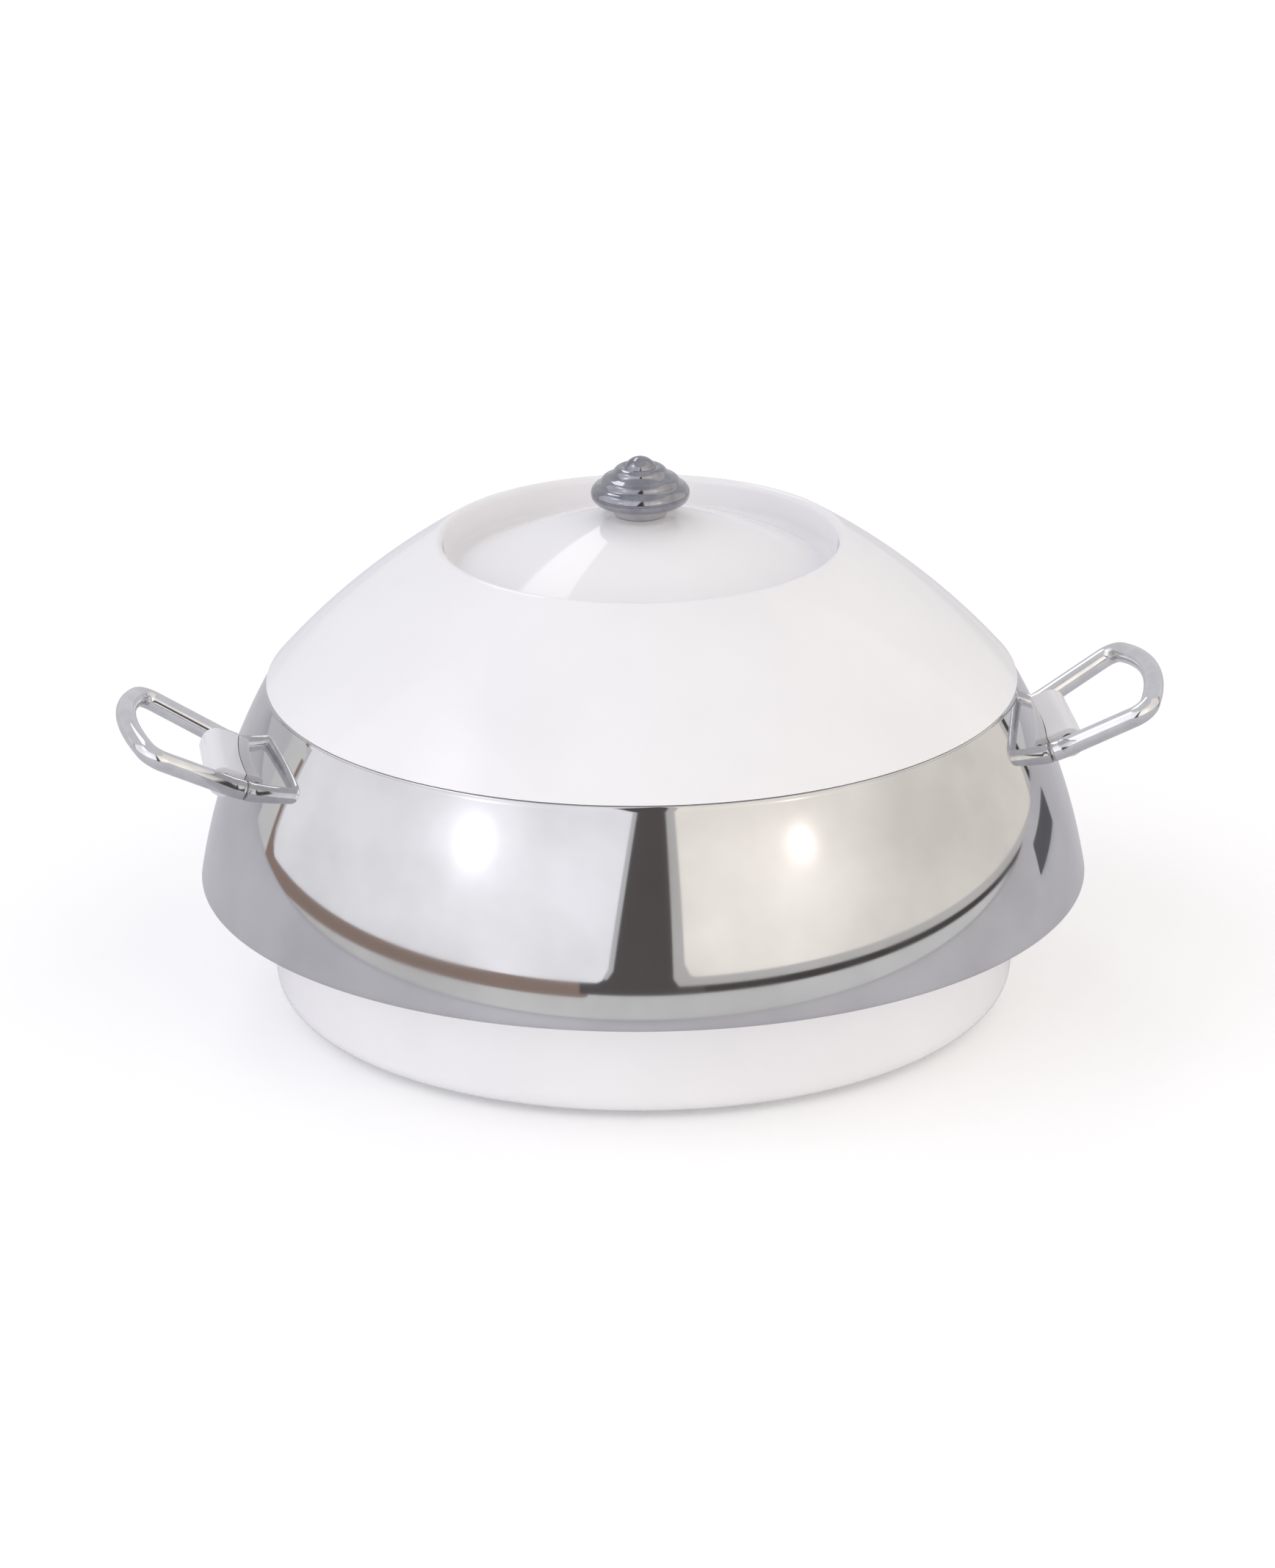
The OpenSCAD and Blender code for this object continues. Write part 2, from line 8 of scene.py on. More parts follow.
import logging
import math
from dataclasses import dataclass
from enum import Enum
from functools import cache
from typing import NamedTuple

import bpy
import numpy as np
from mathutils import Matrix, Vector


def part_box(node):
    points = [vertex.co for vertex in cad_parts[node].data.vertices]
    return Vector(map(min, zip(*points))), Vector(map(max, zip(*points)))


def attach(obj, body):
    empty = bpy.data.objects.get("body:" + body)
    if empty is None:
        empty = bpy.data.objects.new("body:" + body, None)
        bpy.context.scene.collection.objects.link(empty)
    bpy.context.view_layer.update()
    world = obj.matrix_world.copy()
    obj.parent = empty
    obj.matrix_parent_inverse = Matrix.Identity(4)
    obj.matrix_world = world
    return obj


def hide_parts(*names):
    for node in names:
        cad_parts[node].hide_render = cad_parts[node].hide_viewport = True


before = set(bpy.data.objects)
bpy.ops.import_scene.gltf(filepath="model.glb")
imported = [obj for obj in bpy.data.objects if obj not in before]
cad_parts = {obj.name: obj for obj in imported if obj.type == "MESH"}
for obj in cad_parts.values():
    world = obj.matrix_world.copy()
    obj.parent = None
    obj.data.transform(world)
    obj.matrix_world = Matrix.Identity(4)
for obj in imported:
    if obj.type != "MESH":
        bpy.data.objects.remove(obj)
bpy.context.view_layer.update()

Array = np.ndarray
Material = bpy.types.Material
Socket = bpy.types.NodeSocket
Tree = bpy.types.NodeTree
Span = tuple[float, float]

log = logging.getLogger("casserole")

MM = 0.001
NO_FANS = np.zeros((0, 3), int)

# Values of a field between which its colour and its gloss change.
COLOUR_SPAN: Span = (0.35, 0.65)
GLOSS_SPAN: Span = (0.3, 0.7)
NOISE_DETAIL = 3.0

# Places of the two colours and of the result among the sockets of a Mix node.
MIX_FIRST, MIX_SECOND, MIX_RESULT = 6, 7, 2


# ---- Shapes worked out as arrays ----


@dataclass(frozen=True)
class Surface:
    """A mesh as arrays: points (n, 3) in millimetres, four-sided and three-sided faces."""

    points: Array
    quads: Array
    fans: Array

    def turned(self, degrees: float) -> "Surface":
        """The same surface turned about Z.

        Args:
            degrees: The turn's angle.

        Returns:
            The turned surface.
        """
        a = math.radians(degrees)
        turn = np.array([[math.cos(a), -math.sin(a), 0], [math.sin(a), math.cos(a), 0], [0, 0, 1]])
        return Surface(self.points @ turn.T, self.quads, self.fans)


def arc(centre: Span | Array, radius: float, start: float, end: float, steps: int = 24) -> Array:
    """Points of a circular arc: centre plus radius times (cosine, sine) of evenly spaced angles.

    Args:
        centre: The arc's centre.
        radius: Its radius.
        start: The first angle, in degrees.
        end: The last angle, in degrees.
        steps: How many chords the arc has.

    Returns:
        The points, one row each.
    """
    turn = np.radians(np.linspace(start, end, steps + 1))
    return np.array(centre) + radius * np.column_stack([np.cos(turn), np.sin(turn)])


def joined(*parts: Array | list[list[float]]) -> Array:
    """Rows of points, one part after the other."""
    return np.vstack(parts)


def angle_of(vector: Array) -> float:
    """Direction of a flat vector, in degrees."""
    return math.degrees(math.atan2(vector[1], vector[0]))


@dataclass(frozen=True)
class Bow:
    """A wall section that is a shallow circular arc, given by its centre and radius."""

    centre_r: float
    centre_z: float
    radius: float

    @classmethod
    def through(cls, low: Array, high: Array, rise: float) -> "Bow":
        """The arc through two points that stands out from their chord by rise.

        The radius is (half chord squared plus rise squared) over twice the rise.

        Args:
            low: Lower end as (r, z).
            high: Upper end as (r, z).
            rise: How far the arc's middle stands out from the chord.

        Returns:
            The bow.
        """
        chord = high - low
        length = np.linalg.norm(chord)
        radius = ((length / 2) ** 2 + rise**2) / (2 * rise)
        outward = np.array([chord[1], -chord[0]]) / length
        centre = (low + high) / 2 - outward * (radius - rise)
        return cls(float(centre[0]), float(centre[1]), float(radius))

    def r(self, z: Array | float, inset: float = 0.0) -> Array | float:
        """Radius of the wall at height z, moved in by inset."""
        return self.centre_r + np.sqrt((self.radius - inset) ** 2 - (z - self.centre_z) ** 2)

    def climb(self, z0: float, z1: float, inset: float = 0.0, *, steps: int) -> Array:
        """Points (r, z) of the wall from height z0 to z1, moved in by inset."""
        z = np.linspace(z0, z1, steps + 1)
        return np.column_stack([self.r(z, inset), z])


def soften(outline: Array, edge: float) -> Array:
    """Rounds each sharp corner of a closed outline.

    A corner C becomes the quadratic curve (1-t)^2 A + 2t(1-t) C + t^2 B, where A and B lie
    edge away from it on its two sides. One more point past each of them keeps the flat
    faces beside the corner flat in their shading.

    Args:
        outline: The closed outline, one point a row.
        edge: Distance from a corner to the start of its rounding.

    Returns:
        The rounded outline.
    """
    # Least turn of a corner, largest share of a side, place of the extra points, and chords.
    sharp, share, guard, steps = 25.0, 0.22, 1.8, 4
    before = np.roll(outline, 1, axis=0) - outline
    after = np.roll(outline, -1, axis=0) - outline
    size_before = np.linalg.norm(before, axis=1, keepdims=True)
    size_after = np.linalg.norm(after, axis=1, keepdims=True)
    cosine = np.sum(-before * after, axis=1) / (size_before * size_after)[:, 0]
    corner = np.degrees(np.arccos(np.clip(cosine, -1, 1))) > sharp
    back = before / size_before * np.minimum(edge, share * size_before)
    ahead = after / size_after * np.minimum(edge, share * size_after)
    t = np.linspace(0, 1, steps + 1)[None, :, None]
    start, end = (outline + back)[:, None], (outline + ahead)[:, None]
    curve = (1 - t) ** 2 * start + 2 * t * (1 - t) * outline[:, None] + t**2 * end
    guards = (outline + guard * back)[:, None], (outline + guard * ahead)[:, None]
    rounded = np.concatenate([guards[0], curve, guards[1]], axis=1)
    rounded = np.where(corner[:, None, None], rounded, outline[:, None])
    kept = corner[:, None] | (np.arange(steps + 3) == 0)[None]
    return rounded[kept]


def grid_faces(rows: int, columns: int, loop: bool = False, seam: bool = True) -> Array:
    """Four-sided faces of a grid of points that are numbered row by row.

    Args:
        rows: Rows of points.
        columns: Points in each row.
        loop: Whether the last row joins the first.
        seam: Whether the last column joins the first.

    Returns:
        Four point numbers for each face.
    """
    i = np.arange(rows if loop else rows - 1)[:, None]
    j = np.arange(columns if seam else columns - 1)[None]
    here, above, right = i * columns, (i + 1) % rows * columns, (j + 1) % columns
    return np.stack([here + j, here + right, above + right, above + j], axis=-1).reshape(-1, 4)


def pole_faces(rows: int, columns: int) -> Array:
    """Three-sided faces from a grid's first and last rows to the two points that follow it.

    Args:
        rows: Rows of points.
        columns: Points in each row.

    Returns:
        Three point numbers for each face.
    """
    column = np.arange(columns)
    beside = (column + 1) % columns
    pole, top = rows * columns, (rows - 1) * columns
    start = np.column_stack([np.full(columns, pole), beside, column])
    end = np.column_stack([np.full(columns, pole + 1), top + column, top + beside])
    return joined(start, end)


def lathe(outline: Array, turns: int, closed: bool = True) -> Surface:
    """Turns an outline about Z: point i at turn a is (r_i cos a, r_i sin a, z_i).

    Args:
        outline: Points (r, z). A closed outline is a loop. An open one starts and ends on
            the axis, where its two ends become single points with a fan of faces.
        turns: Columns round the axis.
        closed: Whether the outline is a loop.

    Returns:
        The surface, with its faces outward.
    """
    following = np.roll(outline, -1, axis=0)
    area = np.sum(outline[:, 0] * following[:, 1] - following[:, 0] * outline[:, 1])
    path = outline if area > 0 else outline[::-1]
    body = path if closed else path[1:-1]
    turn = np.linspace(0, 2 * np.pi, turns, endpoint=False)
    r = body[:, 0][:, None]
    z = np.broadcast_to(body[:, 1][:, None], (len(body), turns))
    points = np.stack([r * np.cos(turn), r * np.sin(turn), z], axis=-1).reshape(-1, 3)
    quads = grid_faces(len(body), turns, loop=closed)
    if closed:
        return Surface(points, quads, NO_FANS)
    poles = np.array([[0, 0, path[0, 1]], [0, 0, path[-1, 1]]])
    return Surface(joined(points, poles), quads, pole_faces(len(body), turns))


def sweep(path: Array, radii: Array, facing: Array, sides: int) -> Surface:
    """Carries a circle along a path: point j of ring i is p_i + r_i (cos b u_i + sin b v_i).

    u is facing made square to the path's tangent, and v is the tangent's cross product
    with u, so the rings don't twist on a path that stays near the plane facing points out of.

    Args:
        path: Centre points (n, 3).
        radii: The circle's radius at each of them.
        facing: A direction that is nowhere along the path.
        sides: Points round the circle.

    Returns:
        The surface, with its faces outward and its ends closed.
    """
    tangent = np.gradient(path, axis=0)
    tangent /= np.linalg.norm(tangent, axis=1, keepdims=True)
    u = facing - tangent * (tangent @ facing)[:, None]
    u /= np.linalg.norm(u, axis=1, keepdims=True)
    v = np.cross(tangent, u)
    turn = np.linspace(0, 2 * np.pi, sides, endpoint=False)
    circle = np.cos(turn)[None, :, None] * u[:, None] + np.sin(turn)[None, :, None] * v[:, None]
    points = (path[:, None] + radii[:, None, None] * circle).reshape(-1, 3)
    points = joined(points, path[:1], path[-1:])
    return Surface(points, grid_faces(len(path), sides), pole_faces(len(path), sides))


def to_object(name: str, surface: Surface, material: Material) -> bpy.types.Object:
    """Puts a surface into a smooth-shaded mesh object at the origin.

    Args:
        name: The object's name.
        surface: Its points and faces.
        material: Its finish.

    Returns:
        The linked object.
    """
    mesh = bpy.data.meshes.new(name)
    faces = surface.quads.tolist() + surface.fans.tolist()
    mesh.from_pydata((surface.points * MM).tolist(), [], faces)
    mesh.polygons.foreach_set("use_smooth", np.ones(len(faces), bool))
    mesh.materials.append(material)
    mesh.update()
    piece = bpy.data.objects.new(name, mesh)
    bpy.context.scene.collection.objects.link(piece)
    return piece


def node_box(node: str) -> tuple[Array, Array]:
    """Lowest and highest corner of a CAD node, in millimetres."""
    low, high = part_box(node)
    return np.array(low) / MM, np.array(high) / MM


# ---- Material nodes ----


def linear(code: str) -> tuple[float, float, float, float]:
    """An sRGB hex colour as linear light, by the sRGB standard's curve.

    Args:
        code: Six hex digits.

    Returns:
        Red, green, blue and alpha.
    """
    channels = np.array([int(code[k : k + 2], 16) for k in (0, 2, 4)]) / 255
    low = channels / 12.92
    high = ((channels + 0.055) / 1.055) ** 2.4
    red, green, blue = np.where(channels <= 0.04045, low, high)
    return float(red), float(green), float(blue), 1.0


def add(
    tree: Tree,
    kind: str,
    settings: dict[str, object] | None = None,
    values: dict[str | int, object] | None = None,
    links: dict[str | int, Socket] | None = None,
) -> bpy.types.Node:
    """Adds a node to a tree.

    Args:
        tree: The node tree.
        kind: The node's type name.
        settings: Its properties by name.
        values: Constants for its inputs, by name or by place.
        links: Output sockets that feed its inputs, by name or by place.

    Returns:
        The new node.
    """
    node = tree.nodes.new(kind)
    for key, value in (settings or {}).items():
        setattr(node, key, value)
    for key, value in (values or {}).items():
        node.inputs[key].default_value = value
    for key, socket in (links or {}).items():
        tree.links.new(socket, node.inputs[key])
    return node


def calculated(tree: Tree, operation: str, first: Socket | float, second: Socket | float) -> Socket:
    """Works out an operation on two values.

    Args:
        tree: The node tree.
        operation: The Math node's operation.
        first: A socket or a constant.
        second: A socket or a constant.

    Returns:
        The result.
    """
    terms = {0: first, 1: second}
    values = {place: term for place, term in terms.items() if isinstance(term, float)}
    links = {place: term for place, term in terms.items() if not isinstance(term, float)}
    return add(tree, "ShaderNodeMath", {"operation": operation}, values, links).outputs[0]


def object_place(tree: Tree) -> Socket:
    """Object coordinates."""
    return add(tree, "ShaderNodeTexCoord").outputs["Object"]


def distance_from(tree: Tree, centre: tuple[float, float, float] = (0.0, 0.0, 0.0)) -> Socket:
    """Distance of the place that is shaded from a point, in metres."""
    settings, values, links = {"operation": "DISTANCE"}, {1: centre}, {0: object_place(tree)}
    return add(tree, "ShaderNodeVectorMath", settings, values, links).outputs["Value"]


def emptied(owner: Material | bpy.types.World) -> Tree:
    """Turns on an owner's nodes and empties its tree.

    Args:
        owner: A material or a world.

    Returns:
        The empty tree.
    """
    owner.use_nodes = True
    owner.node_tree.nodes.clear()
    return owner.node_tree


def start_material(name: str) -> tuple[Material, Tree, bpy.types.Node]:
    """Starts a material whose principled shader is already joined to its output.

    Args:
        name: The material's name.

    Returns:
        The material, its tree and its shader.
    """
    material = bpy.data.materials.new(name)
    tree = emptied(material)
    shader = add(tree, "ShaderNodeBsdfPrincipled")
    add(tree, "ShaderNodeOutputMaterial", links={"Surface": shader.outputs["BSDF"]})
    return material, tree, shader


@dataclass(frozen=True)
class Clouds:
    """A field of noise whose blotches are size millimetres across."""

    size: float
    detail: float = NOISE_DETAIL

    def socket(self, tree: Tree) -> Socket:
        """Makes the field's nodes."""
        values = {"Scale": 1 / (self.size * MM), "Detail": self.detail}
        return add(tree, "ShaderNodeTexNoise", None, values, {"Vector": object_place(tree)}).outputs[0]


@dataclass(frozen=True)
class Cells:
    """A field of cells size millimetres across, which is the distance from each one's middle."""

    size: float

    def socket(self, tree: Tree) -> Socket:
        """Makes the field's nodes."""
        values, links = {"Scale": 1 / (self.size * MM)}, {"Vector": object_place(tree)}
        return add(tree, "ShaderNodeTexVoronoi", None, values, links).outputs["Distance"]


@dataclass(frozen=True)
class Rings:
    """A field of noise that is the same all round Z, with rings pitch millimetres apart."""

    pitch: float

    def socket(self, tree: Tree) -> Socket:
        """Makes the field's nodes: the noise reads (radius / pitch, height / pitch).

        Args:
            tree: The node tree.

        Returns:
            The field.
        """
        split = add(tree, "ShaderNodeSeparateXYZ", links={0: object_place(tree)})
        flat = add(tree, "ShaderNodeCombineXYZ", links={0: split.outputs[0], 1: split.outputs[1]})
        radius = add(tree, "ShaderNodeVectorMath", {"operation": "LENGTH"}, links={0: flat.outputs[0]})
        across = calculated(tree, "DIVIDE", radius.outputs["Value"], self.pitch * MM)
        up = calculated(tree, "DIVIDE", split.outputs[2], self.pitch * MM)
        ring = add(tree, "ShaderNodeCombineXYZ", links={0: across, 1: up}).outputs[0]
        values = {"Scale": 1.0, "Detail": NOISE_DETAIL}
        return add(tree, "ShaderNodeTexNoise", None, values, {"Vector": ring}).outputs[0]


def spread(tree: Tree, field: Socket, goal: Span, span: Span = GLOSS_SPAN) -> Socket:
    """A value that goes across goal as a field goes across span."""
    values = dict(zip(("From Min", "From Max", "To Min", "To Max"), span + goal))
    return add(tree, "ShaderNodeMapRange", values=values, links={"Value": field}).outputs["Result"]


Field = Clouds | Cells | Rings
Constants = tuple[tuple[str, float], ...]


@dataclass(frozen=True)
class Finish:
    """What the finishes share: two colours, a span of gloss and a relief.

    The colour and the gloss follow the shade field. The relief follows the height field: its
    two numbers are the depth in millimetres between the field's low and high places, and how
    strongly it shows. The constants are values of the shader's own sockets.
    """

    name: str
    light: str
    deep: str
    gloss: Span
    relief: Span
    shade: Field
    height: Field
    constants: Constants = (("Metallic", 1.0),)

    def build(self) -> Material:
        """Makes the material.

        Returns:
            The material.
        """
        material, tree, shader = start_material(self.name)
        for socket, value in self.constants:
            shader.inputs[socket].default_value = value
        shade = self.shade.socket(tree)
        ramp = add(tree, "ShaderNodeValToRGB", links={"Fac": shade})
        stops = zip(ramp.color_ramp.elements, COLOUR_SPAN, (self.light, self.deep))
        for stop, place, code in stops:
            stop.position = place
            stop.color = linear(code)
        values = {"Strength": self.relief[1], "Distance": self.relief[0] * MM}
        bump = add(tree, "ShaderNodeBump", values=values, links={"Height": self.height.socket(tree)})
        tree.links.new(ramp.outputs["Color"], shader.inputs["Base Color"])
        tree.links.new(spread(tree, shade, self.gloss), shader.inputs["Roughness"])
        tree.links.new(bump.outputs["Normal"], shader.inputs["Normal"])
        return material


@dataclass(frozen=True)
class MouldedPolypropylene(Finish):
    """Glossy injection-moulded polypropylene, off a polished mould.

    It gives the eye an even cool white with a soft sheen, a faint flow clouding, and a
    shallow waviness that breaks up highlights.
    """

    name: str = "moulded_polypropylene"
    light: str = "EFEEF0"
    deep: str = "EBEAEC"
    gloss: Span = (0.05, 0.09)
    relief: Span = (0.02, 0.25)
    shade: Field = Clouds(60.0)
    height: Field = Clouds(14.0, detail=1.0)
    constants: Constants = (("IOR", 1.49),)


@dataclass(frozen=True)
class MirrorSteel(Finish):
    """Stainless sheet spun to shape and polished to a mirror.

    It gives the eye sharp reflections, softened a little in faint rings from the lathe and
    in broad patches where it was buffed.
    """

    name: str = "mirror_stainless_steel"
    light: str = "D2D2D3"
    deep: str = "C5C4C5"
    gloss: Span = (0.03, 0.065)
    relief: Span = (0.002, 0.12)
    shade: Field = Clouds(45.0)
    height: Field = Rings(3.0)


@dataclass(frozen=True)
class ChromePlate(Finish):
    """Bright chromium plated over polished steel or zinc.

    It gives the eye a blue-white mirror with slightly duller patches from handling.
    """

    name: str = "chromium_plate"
    light: str = "E2E2E3"
    deep: str = "D6D6D8"
    gloss: Span = (0.04, 0.09)
    relief: Span = (0.003, 0.15)
    shade: Field = Clouds(9.0)
    height: Field = Clouds(1.5)


@dataclass(frozen=True)
class SmokedNickel(Finish):
    """Dark nickel plated over a turned core, under clear lacquer.

    It gives the eye a smoke-grey mirror in which only the brightest lights stay white.
    """

    name: str = "smoked_nickel_plate"
    light: str = "9C9CA3"
    deep: str = "85858D"
    gloss: Span = (0.05, 0.11)
    relief: Span = (0.003, 0.2)
    shade: Field = Clouds(6.0)
    height: Field = Rings(0.8)
    constants: Constants = (
        ("Metallic", 1.0),
        ("Coat Weight", 0.6),
        ("Coat Roughness", 0.04),
    )


@dataclass(frozen=True)
class SpunSteel(Finish):
    """Stainless sheet with the satin rings that a spinning lathe leaves.

    It gives the eye fine concentric lines and a soft highlight that fans across them. The
    real rings are 0.1 mm apart, too fine to show, so they are drawn coarser.
    """

    name: str = "spun_stainless_steel"
    light: str = "E0E0DF"
    deep: str = "CBCBCC"
    gloss: Span = (0.16, 0.3)
    relief: Span = (0.014, 0.25)
    shade: Field = Rings(0.9)
    height: Field = Rings(0.9)


@dataclass(frozen=True)
class ZincPlate(Finish):
    """Bright zinc plating on pressed and turned steel.

    It gives the eye a blue-grey metal with a mottled spangle.
    """

    name: str = "zinc_plated_steel"
    light: str = "C2C5C9"
    deep: str = "9FA3A8"
    gloss: Span = (0.28, 0.42)
    relief: Span = (0.02, 0.3)
    shade: Field = Clouds(1.6)
    height: Field = Clouds(1.6)


@dataclass(frozen=True)
class RigidFoam(Finish):
    """Rigid polyurethane foam, poured between the walls.

    It gives the eye a dull straw yellow with fine open cells.
    """

    name: str = "rigid_polyurethane_foam"
    light: str = "EBDCA8"
    deep: str = "D8C387"
    gloss: Span = (0.8, 0.95)
    relief: Span = (0.4, 0.6)
    shade: Field = Clouds(30.0)
    height: Field = Cells(1.5)
    constants: Constants = ()


@dataclass(frozen=True)
class TurnedBrass(Finish):
    """Free-cutting brass off a lathe.

    It gives the eye a warm yellow metal with fine tool rings.
    """

    name: str = "turned_brass"
    light: str = "D9BC72"
    deep: str = "C4A257"
    gloss: Span = (0.2, 0.34)
    relief: Span = (0.02, 0.3)
    shade: Field = Rings(0.5)
    height: Field = Rings(0.5)


class Slot(Enum):
    """The finishes, each with the name of the record's material slot that it fills."""

    WHITE = ("white_plastic", MouldedPolypropylene())
    MIRROR = ("mirror_steel", MirrorSteel())
    CHROME = ("chrome_rod", ChromePlate())
    SMOKED = ("chrome_rod", SmokedNickel())
    INNER = ("inner_steel", SpunSteel())
    ZINC = ("zinc_steel", ZincPlate())
    FOAM = ("insulating_foam", RigidFoam())
    BRASS = ("brass", TurnedBrass())

    def recorded(self) -> str:
        """The slot's name in the record."""
        return self.value[0]

    @cache
    def material(self) -> Material:
        """The finish's material, made when it is first asked for."""
        return self.value[1].build()


class Body(Enum):
    """The bodies that pieces ride on."""

    BASE = "base"
    LID = "lid"


def fit_piece(name: str, surface: Surface, slot: Slot, body: Body, replaced: str) -> None:
    """Makes a piece, rides it on its body and lets it stand for its CAD node.

    Args:
        name: The piece's name.
        surface: Its shape.
        slot: Its material slot.
        body: The body that it rides on.
        replaced: The CAD node that it stands for.
    """
    piece = to_object(name, surface, slot.material())
    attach(piece, body.value)
    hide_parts(replaced)
    log.info("%s stands for %s: %d faces", name, replaced, len(piece.data.polygons))


def dress_nodes(slot: Slot, *nodes: str) -> None:
    """Gives CAD nodes that keep their shape their finish.

    Args:
        slot: Their material slot.
        nodes: The nodes' names.
    """
    for node in nodes:
        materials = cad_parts[node].data.materials
        if len(materials) == 0:
            materials.append(slot.material())
        for place in range(len(materials)):
            materials[place] = slot.material()
        log.info("%s keeps its shape and takes %s", node, slot.recorded())


# ---- The casserole ----


@dataclass(frozen=True)
class SteelBand:
    """The flared mirror-steel band between the bowl and the lid."""

    top_r: float = 147.7
    bow: float = 3.6
    sheet: float = 0.8
    hem_d: float = 2.6
    hem_start: float = 72.0
    lip_d: float = 2.0
    lip_end: float = 295.0
    columns: int = 384

    def foot(self) -> Array:
        """Where the wall meets its hem, as (r, z)."""
        low, high = node_box("steel_band")
        return np.array([high[0], low[2] + self.hem_d / 2])

    def head(self) -> Array:
        """Where the wall meets its lip, as (r, z)."""
        return np.array([self.top_r, node_box("steel_band")[1][2] - self.lip_d / 2])

    def wall(self) -> Bow:
        """The outer face's section."""
        return Bow.through(self.foot(), self.head(), self.bow)

    def outline(self) -> Array:
        """Outer face, rolled lip, inner face and rolled hem, as one loop of arcs."""
        wall, foot, head = self.wall(), self.foot(), self.head()
        hem_r, lip_r = self.hem_d / 2, self.lip_d / 2
        hem, lip = foot - [hem_r, 0], head - [lip_r, 0]
        inner_top = lip[1] + lip_r * math.sin(math.radians(self.lip_end))
        inner_low = hem[1] + hem_r * math.sin(math.radians(self.hem_start))
        return joined(
            wall.climb(foot[1], head[1], steps=72),
            arc(lip, lip_r, 0, self.lip_end)[1:],
            wall.climb(inner_top, inner_low, self.sheet, steps=24)[1:-1],
            arc(hem, hem_r, self.hem_start, 360)[:-1],
        )

    def build(self) -> None:
        """Makes the band."""
        surface = lathe(self.outline(), self.columns)
        fit_piece("polished_band", surface, Slot.MIRROR, Body.BASE, "steel_band")


@dataclass(frozen=True)
class Bowl:
    """The white outer bowl with its foot ring, shoulder and filling plug."""

    wall_r: float = 147.0
    taper: float = 0.8
    corner_r: float = 11.0
    shell: float = 2.6
    foot_r: float = 132.0
    foot_w: float = 5.0
    foot_h: float = 2.5
    plug_r: float = 10.0
    edge: float = 0.7
    columns: int = 256

    def path(self, inset: float, top: float) -> Array:
        """Underside, corner and wall, from the plug hole up.

        Args:
            inset: How far all three are moved in.
            top: Height of the wall's top.

        Returns:
            Its points.
        """
        start, end = [[self.plug_r, self.foot_h + inset]], [[self.wall_r - inset, top]]
        corner = (self.wall_r - self.taper - self.corner_r, self.foot_h + self.corner_r)
        return joined(start, arc(corner, self.corner_r - inset, -90, 0), end)

    def outline(self) -> Array:
        """The bowl's whole section, with its foot ring, as one loop."""
        (_, _, low), (shoulder_r, _, top) = node_box("base_bowl")
        outer = self.path(0, top - self.shell)
        inner = self.path(self.shell, top)[::-1]
        foot_in = self.foot_r - self.foot_w
        foot = [[foot_in, self.foot_h], [foot_in, low], [self.foot_r, low], [self.foot_r, self.foot_h]]
        shoulder = [[shoulder_r, top - self.shell], [shoulder_r, top]]
        return joined(outer[:1], foot, outer[1:], shoulder, inner)

    def build(self) -> None:
        """Makes the bowl and dresses its plug and foam."""
        surface = lathe(soften(self.outline(), self.edge), self.columns)
        fit_piece("outer_bowl", surface, Slot.WHITE, Body.BASE, "base_bowl")
        dress_nodes(Slot.WHITE, "base_plug")
        dress_nodes(Slot.FOAM, "base_foam")


@dataclass(frozen=True)
class InnerBowl:
    """The steel inner bowl and the white ring that joins it to the band."""

    low_r: float = 124.0
    top_r: float = 131.0
    flat_r: float = 60.0
    corner_r: float = 22.0
    sheet: float = 0.8
    mouth_round: float = 1.4
    mouth_set: float = 0.6
    mouth_end: float = 172.0
    ring_shell: float = 2.6
    ring_edge: float = 0.5
    step: float = 0.15
    columns: int = 256

    def path(self, inset: float, top: float) -> Array:
        """Floor, corner and wall, from the axis to the mouth.

        Args:
            inset: How far all three are moved in.
            top: Height of the wall's top.

        Returns:
            Its points.
        """
        floor = node_box("base_liner")[0][2]
        flat = [[0, floor + inset], [self.flat_r, floor + inset]]
        corner = (self.low_r - self.corner_r, floor + self.corner_r)
        bend = arc(corner, self.corner_r - inset, -90, 0, steps=36)
        return joined(flat, bend, [[self.top_r - inset, top]])

    def liner_outline(self) -> Array:
        """Outside, flange and inside of the inner bowl, from the axis and back to it."""
        flange_r, _, top = node_box("base_liner")[1]
        outside = self.path(0, top - self.sheet)
        flange = [[flange_r, top - self.sheet], [flange_r, top]]
        mouth_centre = (self.top_r + self.mouth_set, top - self.mouth_round)
        mouth = arc(mouth_centre, self.mouth_round, 90, self.mouth_end, steps=8)
        return joined(outside, flange, mouth, self.path(self.sheet, top)[::-1][1:])

    def ring_outline(self) -> Array:
        """The seat ring: an upturned channel whose ledge carries the flange."""
        (_, _, low), (outer_r, _, top) = node_box("seat_ring")
        inner_r = self.top_r + self.step
        inner_wall, outer_wall = inner_r + self.ring_shell, outer_r - self.ring_shell
        flange_r = node_box("base_liner")[1][0] + self.step
        ledge = top - self.sheet - self.step
        under = ledge - self.ring_shell
        inner_leg = [[inner_r, low], [inner_wall, low], [inner_wall, under]]
        outer_leg = [[outer_wall, under], [outer_wall, low], [outer_r, low], [outer_r, top]]
        return joined(inner_leg, outer_leg, [[flange_r, top], [flange_r, ledge], [inner_r, ledge]])

    def build(self) -> None:
        """Makes the inner bowl and its seat ring."""
        liner = lathe(self.liner_outline(), self.columns, closed=False)
        fit_piece("inner_bowl", liner, Slot.INNER, Body.BASE, "base_liner")
        ring = lathe(soften(self.ring_outline(), self.ring_edge), self.columns)
        fit_piece("seat_moulding", ring, Slot.WHITE, Body.BASE, "seat_ring")


